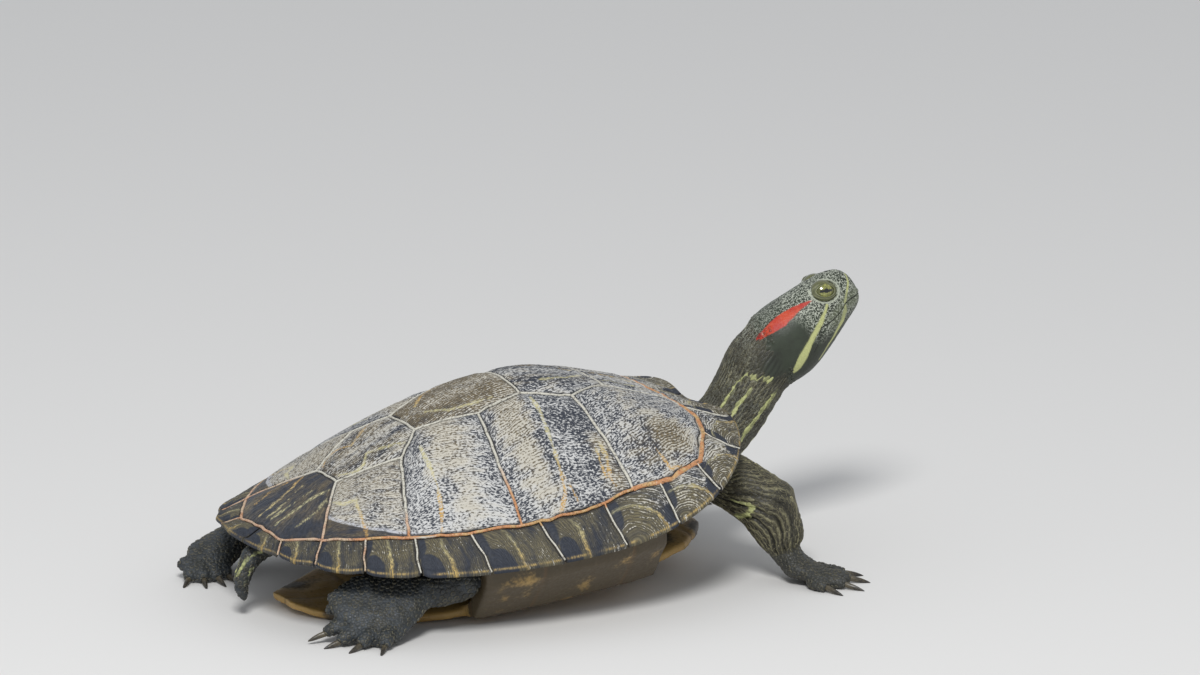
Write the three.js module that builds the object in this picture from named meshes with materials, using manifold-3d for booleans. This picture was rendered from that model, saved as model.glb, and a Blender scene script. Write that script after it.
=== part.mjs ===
// A life-size red-eared slider turtle, basking: the shell's rear rests on the floor, the front is
// propped up on the forelegs, and the neck is stretched up and forward.
// Units are millimetres, +Z is up, +X is the way the turtle faces and +Y is its left side.
import * as THREE from 'three';
import { mergeVertices } from 'three/addons/utils/BufferGeometryUtils.js';
import Module from 'manifold-3d';

const wasm = await Module();
wasm.setup();

// ---- driving dimensions ----

const CARAPACE_LENGTH = 230;
const GAP = 0.3;                    // clear space between neighbouring solids
const SHELL_FACET = 0.20;           // facets that stand out by less than this are merged
const HEAD_FACET = 0.13;
const FLESH_FACET = 0.26;
const TRUNK_FACET = 0.18;
const TRUNK_GAP = 0.8;              // room for the trunk's coarser facets
const PITCH = THREE.MathUtils.degToRad(5.3);    // nose-up tilt of the shell
const REST_HEIGHT = 23.9;           // the shell's reference plane above the floor, at its rear end

// carapace, as fractions of its length
const HALF_WIDTH = 0.398;
const WIDEST_AT = 0.578;            // forward of the rear edge
const FRONT_POWER = 3.15;           // outline's roundness towards the front edge
const REAR_POWER = 2.52;            // and towards the rear edge
const SIDE_POWER = 2.5;             // and across it
const DOME_RISE = 0.254;
const DOME_POWER = 1.7;
const DOME_FALL = 1.12;
const FRONT_RISE = 0.126;           // the rim curls up towards the front edge
const REAR_RISE = 0.050;
const NUCHAL_DIP = 0.022;           // the front edge is cut back at the middle
const NUCHAL_REACH = 0.09;
const NOTCH_DEPTH = 0.012;          // small notches between the rear marginals
const NOTCH_REACH = 0.014;

const SHELL_WALL = 4.5;
const RIM_WALL = 2.6;
const LIP_REACH = 0.16;             // how far in from the edge that underside runs
const LIP = 0.87;                   // where the marginals' underside ends, as a share of the outline

const PLASTRON_DEPTH = 29.3;        // its flat underside below the shell's reference plane
const PLASTRON_UPTURN = 9;          // how far its rear end curls up
const UPTURN_FROM = 0.20;           // and where that starts, as a fraction of the carapace's length
const PLASTRON_WALL = 5;

const HEAD_YAW = THREE.MathUtils.degToRad(-12);
const HEAD_RISE = THREE.MathUtils.degToRad(29.8);
const SNOUT = [300.1, -11.6, 109.8];
const HEAD_BACK = 47;               // where the head meets the neck, behind the snout
const EYE_RADIUS = 5.2;
const EYE_PLACE = [12.2, 6.3, 13.2];    // behind, beside and above the snout tip
const MOUTH_RISE = 0.12;            // slope of the mouth line
const MOUTH_BACK = 22;

// ---- small tools on solids ----

function outward(geometry) {
  const place = geometry.attributes.position;
  const index = geometry.index.array;
  const a = new THREE.Vector3();
  const b = new THREE.Vector3();
  const c = new THREE.Vector3();
  let volume = 0;
  for (let i = 0; i < index.length; i += 3) {
    a.fromBufferAttribute(place, index[i]);
    b.fromBufferAttribute(place, index[i + 1]);
    c.fromBufferAttribute(place, index[i + 2]);
    volume += a.dot(b.cross(c));
  }
  if (volume < 0) {
    for (let i = 0; i < index.length; i += 3) {
      const kept = index[i];
      index[i] = index[i + 1];
      index[i + 1] = kept;
    }
  }
  return geometry;
}

function solidOf(source) {
  let geometry = source.clone();
  geometry.deleteAttribute('normal');
  geometry.deleteAttribute('uv');
  geometry = outward(mergeVertices(geometry, 1e-3));
  const vertProperties = new Float32Array(geometry.attributes.position.array);
  const triVerts = new Uint32Array(geometry.index.array);
  const mesh = new wasm.Mesh({ numProp: 3, vertProperties, triVerts });
  mesh.merge();
  return new wasm.Manifold(mesh);
}

function geometryOf(solid, coarseness = SHELL_FACET) {
  const { vertProperties, triVerts } = mainBody(solid.asOriginal().simplify(coarseness)).getMesh();
  const geometry = new THREE.BufferGeometry();
  geometry.setAttribute('position', new THREE.BufferAttribute(new Float32Array(vertProperties), 3));
  geometry.setIndex(new THREE.BufferAttribute(new Uint32Array(triVerts), 1));
  geometry.computeVertexNormals();
  return geometry;
}

// The main body of a cut, without the crumbs that it leaves.
function mainBody(solid) {
  const bodies = solid.decompose();
  return bodies.reduce((best, body) => (body.volume() > best.volume() ? body : best));
}

function clip(value, low, high) {
  return Math.min(Math.max(value, low), high);
}

function signedPower(value, power) {
  return Math.sign(value) * Math.abs(value) ** power;
}

// A smooth function through [place, value] stations.
function profile(stations) {
  const count = stations.length;
  const slope = stations.map((station, i) => {
    const before = stations[Math.max(i - 1, 0)];
    const after = stations[Math.min(i + 1, count - 1)];
    return (after[1] - before[1]) / (after[0] - before[0]);
  });
  return (x) => {
    const place = clip(x, stations[0][0], stations[count - 1][0]);
    let i = 0;
    while (i < count - 2 && place > stations[i + 1][0]) i += 1;
    const width = stations[i + 1][0] - stations[i][0];
    const t = (place - stations[i][0]) / width;
    const rise = t * t * (3 - 2 * t);
    const lead = t * (1 - t) * (1 - t) * width;
    const lag = -t * t * (1 - t) * width;
    return stations[i][1] * (1 - rise) + stations[i + 1][1] * rise + slope[i] * lead + slope[i + 1] * lag;
  };
}

// How full a form is at t, from one pole to the other: a small power gives blunt ends.
function fullness(t, power) {
  const rise = Math.sin(Math.PI * t);
  return rise > 1e-9 ? rise ** power : 0;
}

// A sphere whose points are moved by place(t, turn): t runs from pole to pole, turn goes round.
function reshapedSphere(around, along, place) {
  const geometry = new THREE.SphereGeometry(1, around, along);
  const points = geometry.attributes.position;
  const uv = geometry.attributes.uv;
  for (let i = 0; i < points.count; i += 1) {
    const [x, y, z] = place(clip(1 - uv.getY(i), 0, 1), (uv.getX(i) % 1) * 2 * Math.PI);
    points.setXYZ(i, x, y, z);
  }
  return geometry;
}

// A closed limb or neck along a curve: each knot is [x, y, z, half width, half height].
function limb(knots, { up, around = 12, along = 14, blunt = 0.45, grow = 0 }) {
  const points = knots.map((knot) => new THREE.Vector3(knot[0], knot[1], knot[2]));
  const curve = new THREE.CatmullRomCurve3(points);
  const widths = profile(knots.map((knot, i) => [i / (knots.length - 1), knot[3]]));
  const heights = profile(knots.map((knot, i) => [i / (knots.length - 1), knot[4]]));
  const upward = new THREE.Vector3(...up);
  return reshapedSphere(around, along, (t, turn) => {
    const step = (1 - signedPower(Math.cos(Math.PI * t), 0.7)) / 2;
    const round = fullness(t, blunt);
    const middle = curve.getPoint(step);
    const ahead = curve.getTangent(step);
    const side = upward.clone().cross(ahead).normalize();
    const top = ahead.clone().cross(side);
    const across = (widths(step) + grow) * round * Math.cos(turn);
    const above = (heights(step) + grow) * round * Math.sin(turn);
    return middle.addScaledVector(side, across).addScaledVector(top, above).toArray();
  });
}

// The half of space on the side of a point that the normal shows.
function beyond(point, normal) {
  const reach = 400;
  const box = new THREE.BoxGeometry(2 * reach, 2 * reach, reach);
  const ahead = new THREE.Vector3(...normal).normalize();
  box.translate(0, 0, reach / 2);
  box.applyQuaternion(new THREE.Quaternion().setFromUnitVectors(new THREE.Vector3(0, 0, 1), ahead));
  box.translate(...new THREE.Vector3(...point).addScaledVector(ahead, GAP / 2).toArray());
  return solidOf(box);
}

function beforeAndAfter(solid, point, normal) {
  const back = normal.map((value) => -value);
  return [solid.intersect(beyond(point, back)), solid.intersect(beyond(point, normal))];
}

const aboveFloor = beyond([0, 0, -GAP / 2], [0, 0, 1]);

// ---- materials ----

function finish(red, green, blue, roughness) {
  return () => new THREE.MeshStandardMaterial({
    color: new THREE.Color(red, green, blue),
    roughness,
    metalness: 0,
  });
}

const scuteHorn = finish(0.20, 0.21, 0.17, 0.6);
const rimHorn = finish(0.22, 0.20, 0.13, 0.6);
const plastronHorn = finish(0.55, 0.45, 0.22, 0.6);
const skin = finish(0.09, 0.10, 0.07, 0.65);
const eyeGloss = finish(0.25, 0.28, 0.10, 0.2);
const clawHorn = finish(0.10, 0.09, 0.07, 0.4);

const turtle = new THREE.Group();
const shellFrame = new THREE.Group();
shellFrame.position.z = REST_HEIGHT;
shellFrame.rotation.y = -PITCH;
turtle.add(shellFrame);
shellFrame.updateMatrixWorld(true);
const toShell = shellFrame.matrixWorld.clone().invert();
const toFloor = shellFrame.matrixWorld.clone();

function add(parent, name, geometry, material) {
  const mesh = new THREE.Mesh(geometry, material());
  mesh.name = name;
  parent.add(mesh);
  return mesh;
}

function moved(solid, matrix) {
  return solid.transform(matrix.elements);
}

// ---- carapace ----

// Where the seams between marginal scutes reach the rim, forward of the rear edge.
const RIM_SEAMS = [0.011, 0.045, 0.114, 0.208, 0.338, 0.486, 0.617, 0.737, 0.847, 0.937, 0.985];
const REAR_NOTCHES = 4;

function rimPoint(turn) {
  const along = Math.cos(turn);
  const cos = signedPower(along, 2 / (along > 0 ? FRONT_POWER : REAR_POWER));
  const sin = signedPower(Math.sin(turn), 2 / SIDE_POWER);
  return [cos, sin];
}

function notch(x) {
  return RIM_SEAMS.slice(0, REAR_NOTCHES)
    .reduce((depth, seam) => Math.max(depth, Math.exp(-(((x - seam) / NOTCH_REACH) ** 2))), 0);
}

// A point of the dome: share is 0 at the middle and 1 on the rim.
function domePoint(share, turn) {
  const [cos, sin] = rimPoint(turn);
  const reach = cos > 0 ? 1 - WIDEST_AT : WIDEST_AT;
  const y = HALF_WIDTH * sin * share;
  const front = cos > 0 ? NUCHAL_DIP * Math.exp(-((y / NUCHAL_REACH) ** 2)) * share ** 4 : 0;
  const rimX = WIDEST_AT + reach * cos;
  const trim = cos < 0 ? 1 - NOTCH_DEPTH * notch(rimX) * share ** 8 : 1;
  const x = WIDEST_AT + reach * cos * share * trim - front;
  const curl = cos ** 2 * (cos > 0 ? FRONT_RISE : REAR_RISE) * share ** 2;
  const dome = DOME_RISE * Math.max(1 - share ** DOME_POWER, 0) ** DOME_FALL;
  return [x * CARAPACE_LENGTH, y * trim * CARAPACE_LENGTH, (curl + dome) * CARAPACE_LENGTH];
}

// The whole carapace as one wall: over the dome, round the rim, under the lip and back inside.
function carapaceWall(grow) {
  return reshapedSphere(48, 18, (t, turn) => {
    if (t <= 0.5) {
      const [x, y, z] = domePoint(Math.sin(Math.PI * t), turn);
      const spread = 1 + grow / (HALF_WIDTH * CARAPACE_LENGTH);
      const middle = WIDEST_AT * CARAPACE_LENGTH;
      return [middle + (x - middle) * spread, y * spread, z + grow];
    }
    const inward = (t - 0.5) * 2;
    const past = Math.max(inward - LIP_REACH, 0) / (1 - LIP_REACH);
    const lip = 1 - (1 - LIP) * (inward / LIP_REACH);
    const share = inward < LIP_REACH ? lip : LIP * Math.cos(past * Math.PI / 2);
    const [x, y, z] = domePoint(share, turn);
    const depth = share > LIP - 1e-6 ? (1 - share) / (1 - LIP) : 1;
    const wall = RIM_WALL + (SHELL_WALL - RIM_WALL) * depth;
    return [x, y, z - wall - grow];
  });
}

const HORN_SEAMS = {
  // corners of the scutes on the left side, forward of the rear edge and out from the middle
  nuchalBack: [0.905, 0],
  nuchalCorner: [0.896, 0.076],
  vertebral12: [0.765, 0.063],
  vertebral23: [0.574, 0.078],
  vertebral34: [0.359, 0.054],
  vertebral45: [0.190, 0.044],
  lateral2: [0.672, 0.112],
  lateral3: [0.474, 0.098],
  lateral4: [0.302, 0.107],
  costal1Front: [0.905, 0.170],
  costal1Shoulder: [0.887, 0.226],
  costal1Side: [0.842, 0.292],
  costal1Low: [0.763, 0.314],
  costal12: [0.685, 0.314],
  costal2Low: [0.565, 0.326],
  costal23: [0.440, 0.326],
  costal3Low: [0.330, 0.305],
  costal34: [0.227, 0.263],
  costal4Low: [0.150, 0.217],
  costal45: [0.094, 0.163],
  fifthBack: [0.044, 0.088],
  rearBack: [0.044, 0],
};

const VERTEBRALS = [
  ['nuchalCorner', 'vertebral12'],
  ['vertebral12', 'lateral2', 'vertebral23'],
  ['vertebral23', 'lateral3', 'vertebral34'],
  ['vertebral34', 'lateral4', 'vertebral45'],
  ['vertebral45', 'costal45', 'fifthBack'],
];

const COSTALS = [
  ['nuchalCorner', 'costal1Front', 'costal1Shoulder', 'costal1Side', 'costal1Low', 'costal12', 'lateral2',
    'vertebral12'],
  ['lateral2', 'costal12', 'costal2Low', 'costal23', 'lateral3', 'vertebral23'],
  ['lateral3', 'costal23', 'costal3Low', 'costal34', 'lateral4', 'vertebral34'],
  ['lateral4', 'costal34', 'costal4Low', 'costal45', 'vertebral45'],
];

const INNER_RING = ['nuchalCorner', 'costal1Front', 'costal1Shoulder', 'costal1Side', 'costal1Low',
  'costal12',
  'costal2Low', 'costal23', 'costal3Low', 'costal34', 'costal4Low', 'costal45', 'fifthBack'];

function corners(names, side) {
  return names.map((name) => [
    HORN_SEAMS[name][0] * CARAPACE_LENGTH,
    HORN_SEAMS[name][1] * CARAPACE_LENGTH * side,
  ]);
}

// An outline drawn in by half a gap, so that neighbours stay apart.
function drawnIn(outline, distance) {
  const turned = THREE.ShapeUtils.area(outline.map(([x, y]) => new THREE.Vector2(x, y))) < 0;
  const loop = turned ? [...outline].reverse() : outline;
  return loop.map(([x, y], i) => {
    const [xb, yb] = loop[(i + loop.length - 1) % loop.length];
    const [xa, ya] = loop[(i + 1) % loop.length];
    const before = new THREE.Vector2(x - xb, y - yb).normalize();
    const after = new THREE.Vector2(xa - x, ya - y).normalize();
    const inBefore = new THREE.Vector2(-before.y, before.x);
    const inAfter = new THREE.Vector2(-after.y, after.x);
    const mitre = inBefore.add(inAfter);
    mitre.multiplyScalar(2 * distance / Math.max(mitre.lengthSq(), 0.5));
    return [x + mitre.x, y + mitre.y];
  });
}

function column(outline) {
  const shape = new THREE.Shape(drawnIn(outline, GAP / 2).map(([x, y]) => new THREE.Vector2(x, y)));
  const geometry = new THREE.ExtrudeGeometry(shape, { depth: 160, bevelEnabled: false });
  geometry.translate(0, 0, -60);
  return solidOf(geometry);
}

const carapace = solidOf(carapaceWall(0));
const mirrored = (points) => points.map(([x, y]) => [x, -y]).reverse();

function buildCarapace() {
  VERTEBRALS.forEach((names, i) => {
    const left = corners(names, 1);
    const scute = carapace.intersect(column([...left, ...mirrored(left)]));
    add(shellFrame, `vertebral_${i + 1}`, geometryOf(scute), scuteHorn);
  });
  for (const [side, word] of [[1, 'left'], [-1, 'right']]) {
    COSTALS.forEach((names, i) => {
      const scute = carapace.intersect(column(corners(names, side)));
      add(shellFrame, `costal_${word}_${i + 1}`, geometryOf(scute), scuteHorn);
    });
  }
}

// The marginal scutes go round the rim in three lengths on each side, and the nuchal sits in front.
function buildMarginals() {
  const outside = 1.3 * CARAPACE_LENGTH;
  const nuchalHalf = 0.030 * CARAPACE_LENGTH;
  const ring = corners(INNER_RING, 1);
  const at = (name) => INNER_RING.indexOf(name);
  const firstSeam = [0.800 * CARAPACE_LENGTH, 0.305 * CARAPACE_LENGTH];
  const bridgeEnd = [0.385 * CARAPACE_LENGTH, 0.3155 * CARAPACE_LENGTH];
  const lengths = {
    front: [[outside, nuchalHalf], [ring[0][0], nuchalHalf], ...ring.slice(0, at('costal1Low')), firstSeam,
      [0.800 * CARAPACE_LENGTH, outside], [outside, outside]],
    bridge: [firstSeam, ...ring.slice(at('costal1Low'), at('costal3Low')), bridgeEnd,
      [0.360 * CARAPACE_LENGTH, outside], [0.800 * CARAPACE_LENGTH, outside]],
    rear: [bridgeEnd, ...ring.slice(at('costal3Low')), [ring[at('fifthBack')][0], 0], [-outside, 0],
      [-outside, outside], [0.360 * CARAPACE_LENGTH, outside]],
  };
  for (const [side, word] of [[1, 'left'], [-1, 'right']]) {
    for (const [length, outline] of Object.entries(lengths)) {
      const piece = carapace.intersect(column(outline.map(([x, y]) => [x, y * side])));
      add(shellFrame, `marginals_${word}_${length}`, geometryOf(piece), rimHorn);
    }
  }
  const inside = ring[0][0];
  const nuchal = [[outside, nuchalHalf], [inside, nuchalHalf],
    [inside, -nuchalHalf], [outside, -nuchalHalf]];
  add(shellFrame, 'nuchal', geometryOf(carapace.intersect(column(nuchal))), rimHorn);
}

// ---- plastron ----

const PLASTRON_REAR = 0.055;
const PLASTRON_FRONT = 0.955;
const ANAL_NOTCH = 0.022;
const PLASTRON_HALF = profile([[0.055, 0.055], [0.14, 0.148], [0.26, 0.215], [0.38, 0.240], [0.50, 0.252],
  [0.66, 0.245], [0.76, 0.222], [0.87, 0.190], [0.955, 0.110]]);
const BRIDGE = { front: 0.735, back: 0.345, inner: 0.215, outer: 0.368 };
const BROW_RISE = 6.5;
const BROW_END_RISE = 3;

// The plate's underside, curling up towards the rear end.
function belly(x) {
  const back = Math.max(UPTURN_FROM - x, 0) / (UPTURN_FROM - PLASTRON_REAR);
  return PLASTRON_UPTURN * back ** 2 - PLASTRON_DEPTH;
}

function plateForm(grow) {
  const middle = (PLASTRON_FRONT + PLASTRON_REAR) / 2;
  return solidOf(reshapedSphere(26, 11, (t, turn) => {
    const share = fullness(t, 0.55);
    const along = signedPower(Math.cos(turn), 0.8) * (PLASTRON_FRONT - PLASTRON_REAR) / 2;
    const y = PLASTRON_HALF(middle + along) * signedPower(Math.sin(turn), 0.4) * share;
    const notch = along < 0 ? ANAL_NOTCH * Math.exp(-((y / 0.03) ** 2)) * share ** 6 : 0;
    const x = middle + along * share + notch;
    const thickness = t < 0.5 ? PLASTRON_WALL * (1 - 0.3 * share ** 12) + grow : -grow;
    const spread = 1 + grow / (PLASTRON_HALF(middle) * CARAPACE_LENGTH);
    return [(middle + (x - middle) * spread) * CARAPACE_LENGTH, y * spread * CARAPACE_LENGTH,
      belly(x) + thickness];
  }));
}

function plastronSolid(grow) {
  return [1, -1].reduce((solid, side) => solid.add(bridgeSolid(side, grow)), plateForm(grow));
}

// A bridge climbs from the plate's edge into the marginals, which trim its brow.
function bridgeSolid(side, grow) {
  const inner = BRIDGE.inner * CARAPACE_LENGTH;
  const outer = BRIDGE.outer * CARAPACE_LENGTH;
  const low = -PLASTRON_DEPTH - grow;
  const wall = PLASTRON_WALL;
  const lining = outer - wall - grow;
  const brow = [outer + 2 * grow, -1 + grow];
  const outside = [[inner, low], [inner + 16, low + 1.5], [outer - 2, -9 - grow], brow];
  const inside = [[lining, 0.5 + grow], [lining - 5, -8 + grow], [inner + 9, low + wall + 2.5 + 2 * grow],
    [inner, low + wall + 2 * grow]];
  const section = [...outside, ...inside];
  const shape = new THREE.Shape(section.map(([y, z]) => new THREE.Vector2(y, z)));
  const length = (BRIDGE.front - BRIDGE.back) * CARAPACE_LENGTH + 2 * grow;
  const geometry = new THREE.ExtrudeGeometry(shape, { depth: length, steps: 6, bevelEnabled: false });
  const points = geometry.attributes.position;
  for (let i = 0; i < points.count; i += 1) {
    const along = points.getZ(i) / length;
    const y = points.getX(i);
    const z = points.getY(i);
    const end = Math.abs(2 * along - 1) ** 3;
    const waist = end * (y - inner) * 0.10;
    const rise = z > -2 ? BROW_RISE + BROW_END_RISE * end : 0;
    const x = BRIDGE.back * CARAPACE_LENGTH - grow + along * length;
    points.setXYZ(i, x, (y - waist) * side, z + rise);
  }
  return solidOf(geometry);
}

function buildPlastron() {
  const lowered = moved(plastronSolid(0).subtract(solidOf(carapaceWall(GAP))), toFloor);
  const rested = moved(lowered.intersect(aboveFloor), toShell);
  add(shellFrame, 'plastron', geometryOf(rested), plastronHorn);
}

// ---- head and neck ----

const HEAD_TOP = profile([[-2, 12.5], [0, 17.2], [6, 19.3], [16, 19.4], [28, 19.1], [40, 19], [47, 18.2],
  [56, 15.5]]);
const HEAD_BOTTOM = profile([[-2, -1], [0, -3.4], [10, -6.3], [21, -10.7], [27, -13.2], [33, -15.2],
  [42, -16.4], [56, -16.5]]);
const HEAD_HALF = profile([[-2, 3.2], [0, 5.4], [4, 7.8], [10, 10.8], [16, 13.0], [24, 15.0], [34, 16.8],
  [42, 16.8], [48, 15.6], [56, 14.6]]);

const headFrame = new THREE.Group();
headFrame.position.set(...SNOUT);
headFrame.rotation.set(0, -HEAD_RISE, HEAD_YAW, 'ZYX');
headFrame.updateMatrixWorld(true);
const headToFloor = headFrame.matrixWorld.clone();
turtle.add(headFrame);

function headPoint(place) {
  return new THREE.Vector3(-place[0], place[1], place[2]).applyMatrix4(headToFloor).toArray();
}

function headAhead() {
  return new THREE.Vector3(1, 0, 0).transformDirection(headToFloor).toArray();
}

// The head's outer form, in its own frame: the snout tip is the origin and the head lies behind it.
function headForm() {
  return solidOf(reshapedSphere(24, 20, (t, turn) => {
    const back = -2 + 58 * ((1 - signedPower(Math.cos(Math.PI * t), 0.8)) / 2);
    const round = fullness(t, 0.22);
    const middle = (HEAD_TOP(back) + HEAD_BOTTOM(back)) / 2;
    const half = (HEAD_TOP(back) - HEAD_BOTTOM(back)) / 2;
    const across = HEAD_HALF(back) * round * signedPower(Math.cos(turn), 0.86);
    const above = half * round * signedPower(Math.sin(turn), 0.86);
    return [-back, across, middle + above];
  }));
}

function eyeSolid(side, grow) {
  const ball = new THREE.SphereGeometry(EYE_RADIUS + grow, 11, 7);
  ball.translate(-EYE_PLACE[0], EYE_PLACE[1] * side, EYE_PLACE[2]);
  return solidOf(ball);
}

// The lower jaw lies under the mouth line, as far back as the corner of the mouth.
function buildHead() {
  let head = headForm().intersect(beyond([-HEAD_BACK, 0, 0], [1, 0, 0]));
  const under = beyond([0, 0, 0], [-MOUTH_RISE, 0, -1]);
  const ahead = beyond([-MOUTH_BACK, 0, 0], [1, 0, -0.5]);
  const jaw = head.intersect(under).intersect(ahead);
  const kept = beyond([0, 0, 0], [MOUTH_RISE, 0, 1]);
  const rear = beyond([-MOUTH_BACK, 0, 0], [-1, 0, 0.5]);
  head = head.intersect(kept).add(head.intersect(rear));
  for (const [side, word] of [[1, 'left'], [-1, 'right']]) {
    head = head.subtract(eyeSolid(side, GAP));
    const eye = add(headFrame, `eye_${word}`, new THREE.SphereGeometry(EYE_RADIUS, 11, 7), eyeGloss);
    eye.position.set(-EYE_PLACE[0], EYE_PLACE[1] * side, EYE_PLACE[2]);
  }
  add(headFrame, 'head', geometryOf(head, HEAD_FACET), skin);
  add(headFrame, 'lower_jaw', geometryOf(jaw, HEAD_FACET), skin);
}

const NECK = [[172, 0, 38, 17, 15], [200, 0, 40, 18, 16.5], [221, 0, 44, 16.5, 16.5],
  [237, -0.3, 54.3, 14.6, 16], [246.8, -0.8, 67.1, 14.1, 15.8], [252.8, -1.8, 77.3, 15.2, 16.4],
  [259.2, -3.1, 87.4, 16.8, 17], [269.5, -5, 94.6, 15.8, 16]];

function neckSolid(grow) {
  return solidOf(limb(NECK, { up: [0, 1, 0], around: 16, along: 16, blunt: 0.35, grow }));
}

function buildNeck(walls) {
  const whole = neckSolid(0).subtract(walls);
  const [neck] = beforeAndAfter(whole, headPoint([HEAD_BACK, 0, 0]), headAhead());
  add(turtle, 'neck', geometryOf(neck, FLESH_FACET), skin);
}

// ---- limbs ----

// Each limb is shaped whole and parted with thin cuts at the elbow or knee and at the wrist or ankle.
// A hind leg folds sharply at the knee, so its thigh and shank are two shafts joined there.
const FORELEG = {
  names: ['upper_arm', 'forearm', 'forefoot'],
  up: [0.3, 0, 1],
  palmUp: [0.6, 0.4, 0.7],
  shafts: [
    [[188, 24, 48, 12, 11], [208, 33, 47.5, 13, 12], [222, 43.5, 42, 13.4, 13], [231, 56, 34, 14, 13.8],
      [235, 60, 21, 10.4, 11.2], [238, 62, 12, 8, 8], [242, 64, 6, 8, 5]],
  ],
  shaftSteps: [12],
  cuts: [[[221, 46, 43], [0.6, 0.6, -0.5]], [[236.5, 60.5, 15.5], [0.25, 0.15, -0.95]]],
  palm: [[235.5, 59, 19, 6.5, 7], [236.5, 61, 13, 7.5, 7], [240, 65, 7.5, 10, 5.6], [246, 71, 4.4, 12, 4.2],
    [251, 76, 3, 11, 2.6]],
  toes: [
    [[248, 63, 4.3], [259, 62, 2.1]],
    [[250, 68, 4.3], [263, 70, 2.1]],
    [[249, 73, 4.3], [261, 79, 2.1]],
    [[245, 77, 4.3], [254, 87, 2.1]],
    [[239, 77, 4.3], [244, 88, 2.1]],
  ],
  toeRadius: 3.2,
  claw: 10,
};

// The right hind foot stands on its toes with its back to the side, like a fan that leans on the floor.
const RIGHT_HINDLEG = {
  names: ['thigh', 'shank', 'hindfoot'],
  up: [0, 0, 1],
  palmUp: [-0.1, 0.62, 0.75],
  shafts: [
    [[62, 34, 30, 14, 12], [74, 52, 29, 15, 13], [79.5, 66, 23.5, 12, 11]],
    [[82, 60, 26, 11.5, 11], [69, 66, 22, 9.5, 9], [58, 62, 20, 8, 7.5], [46, 58, 17, 9, 6]],
  ],
  shaftSteps: [7, 8],
  cuts: [[[78, 64, 24], [-0.8, 0.6, 0]], [[56, 62, 20], [-0.95, 0.2, -0.2]]],
  palm: [[60, 62, 20, 8, 7], [47, 60, 17.5, 14.5, 6], [35, 59, 14, 19, 5.2], [26, 59, 10.5, 19, 4.2],
    [21, 60, 8, 15, 2.8]],
  toes: [
    [[36, 70, 7.5], [30, 77, 2.2]],
    [[30, 67, 7], [21, 70, 2.1]],
    [[26, 62, 7.5], [15, 61, 2.1]],
    [[25, 56, 10.5], [12, 53, 4.2]],
    [[28, 50, 16], [17, 46, 12]],
  ],
  toeRadius: 3.3,
  claw: 9,
};

// The left hind leg trails further back, with its toes turned in towards the tail.
const LEFT_HINDLEG = {
  ...RIGHT_HINDLEG,
  palmUp: [0.1, -0.1, 1],
  shafts: [
    [[62, 34, 30, 14, 12], [74, 53, 29, 15, 13], [77.5, 69, 24, 12.5, 11.5]],
    [[81, 65, 26, 12.5, 11.5], [64, 70, 21, 10.5, 10], [46, 72, 17, 9, 8.5], [30, 71, 12, 9, 6]],
  ],
  cuts: [[[76, 64, 25], [-0.8, 0.6, 0]], [[38, 72, 15], [-0.97, -0.05, -0.2]]],
  palm: [[42, 72, 16, 8, 7.5], [28, 71, 12.5, 10, 6.6], [17, 66.5, 9, 11.5, 5.2], [12, 61, 6.5, 11, 4],
    [11, 57.5, 4.5, 10, 2.6]],
  toes: [
    [[17, 61, 5.8], [19.5, 53, 2.1]],
    [[13.5, 60, 5.8], [13.5, 51, 2.1]],
    [[9, 60, 5.8], [6.5, 52, 2.1]],
    [[6, 62, 6], [0.5, 56.5, 2.1]],
    [[6, 66, 8], [0, 63.5, 6]],
  ],
};

function hindlegOn(side) {
  return side > 0 ? LEFT_HINDLEG : RIGHT_HINDLEG;
}

const CLAW_RADIUS = 1.7;
const CLAW_SET = 3.2;               // how deep a claw is set in its toe

// A claw in its own frame: its root is at the origin, and it curves down as it runs along +X.
function clawGeometry(length, grow) {
  const whole = length + CLAW_SET;
  return reshapedSphere(6, 5, (t, turn) => {
    const step = (1 - Math.cos(Math.PI * t)) / 2;
    const taper = (1 - step ** 1.4) ** 0.9;
    const radius = (CLAW_RADIUS * taper + 0.25 + grow) * fullness(t, 0.5);
    const drop = 0.20 * whole * step ** 2;
    return [-CLAW_SET - grow + step * (whole + 2 * grow), radius * Math.cos(turn) * 0.9,
      radius * Math.sin(turn) - drop];
  });
}

function clawPose(toe, side) {
  const [start, end] = onSide(toe, side);
  const ahead = new THREE.Vector3(end[0] - start[0], end[1] - start[1], end[2] - start[2]);
  const slope = Math.atan2(ahead.z, Math.hypot(ahead.x, ahead.y)) * 0.35;
  const pose = new THREE.Object3D();
  pose.position.set(...end);
  pose.rotation.set(0, -slope, Math.atan2(ahead.y, ahead.x), 'ZYX');
  pose.updateMatrixWorld(true);
  return pose;
}

function onSide(knots, side) {
  return knots.map((knot) => [knot[0], knot[1] * side, ...knot.slice(2)]);
}

function toeSolid(toe, radius, grow) {
  const middle = toe[0].map((value, i) => (value + toe[1][i]) / 2);
  const tip = radius * 0.8;
  const knots = [[...toe[0], radius, radius], [...middle, radius * 1.02, radius], [...toe[1], tip, tip]];
  return solidOf(limb(knots, { up: [0, 0, 1], around: 6, along: 4, blunt: 0.6, grow }));
}

function footSolid(leg, side, grow) {
  const up = onSide([leg.palmUp], side)[0];
  let foot = solidOf(limb(onSide(leg.palm, side), { up, around: 10, along: 6, blunt: 0.4, grow }));
  for (const toe of leg.toes) {
    const placed = toe.map(([x, y, z]) => [x, y * side, z]);
    foot = foot.add(toeSolid(placed, leg.toeRadius, grow));
  }
  return foot;
}

function legSolid(leg, side, grow) {
  const shafts = leg.shafts.map((knots, i) => {
    const form = { up: leg.up, around: 12, along: leg.shaftSteps[i], blunt: 0.4, grow };
    return solidOf(limb(onSide(knots, side), form));
  });
  return shafts.reduce((whole, shaft) => whole.add(shaft));
}

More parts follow.
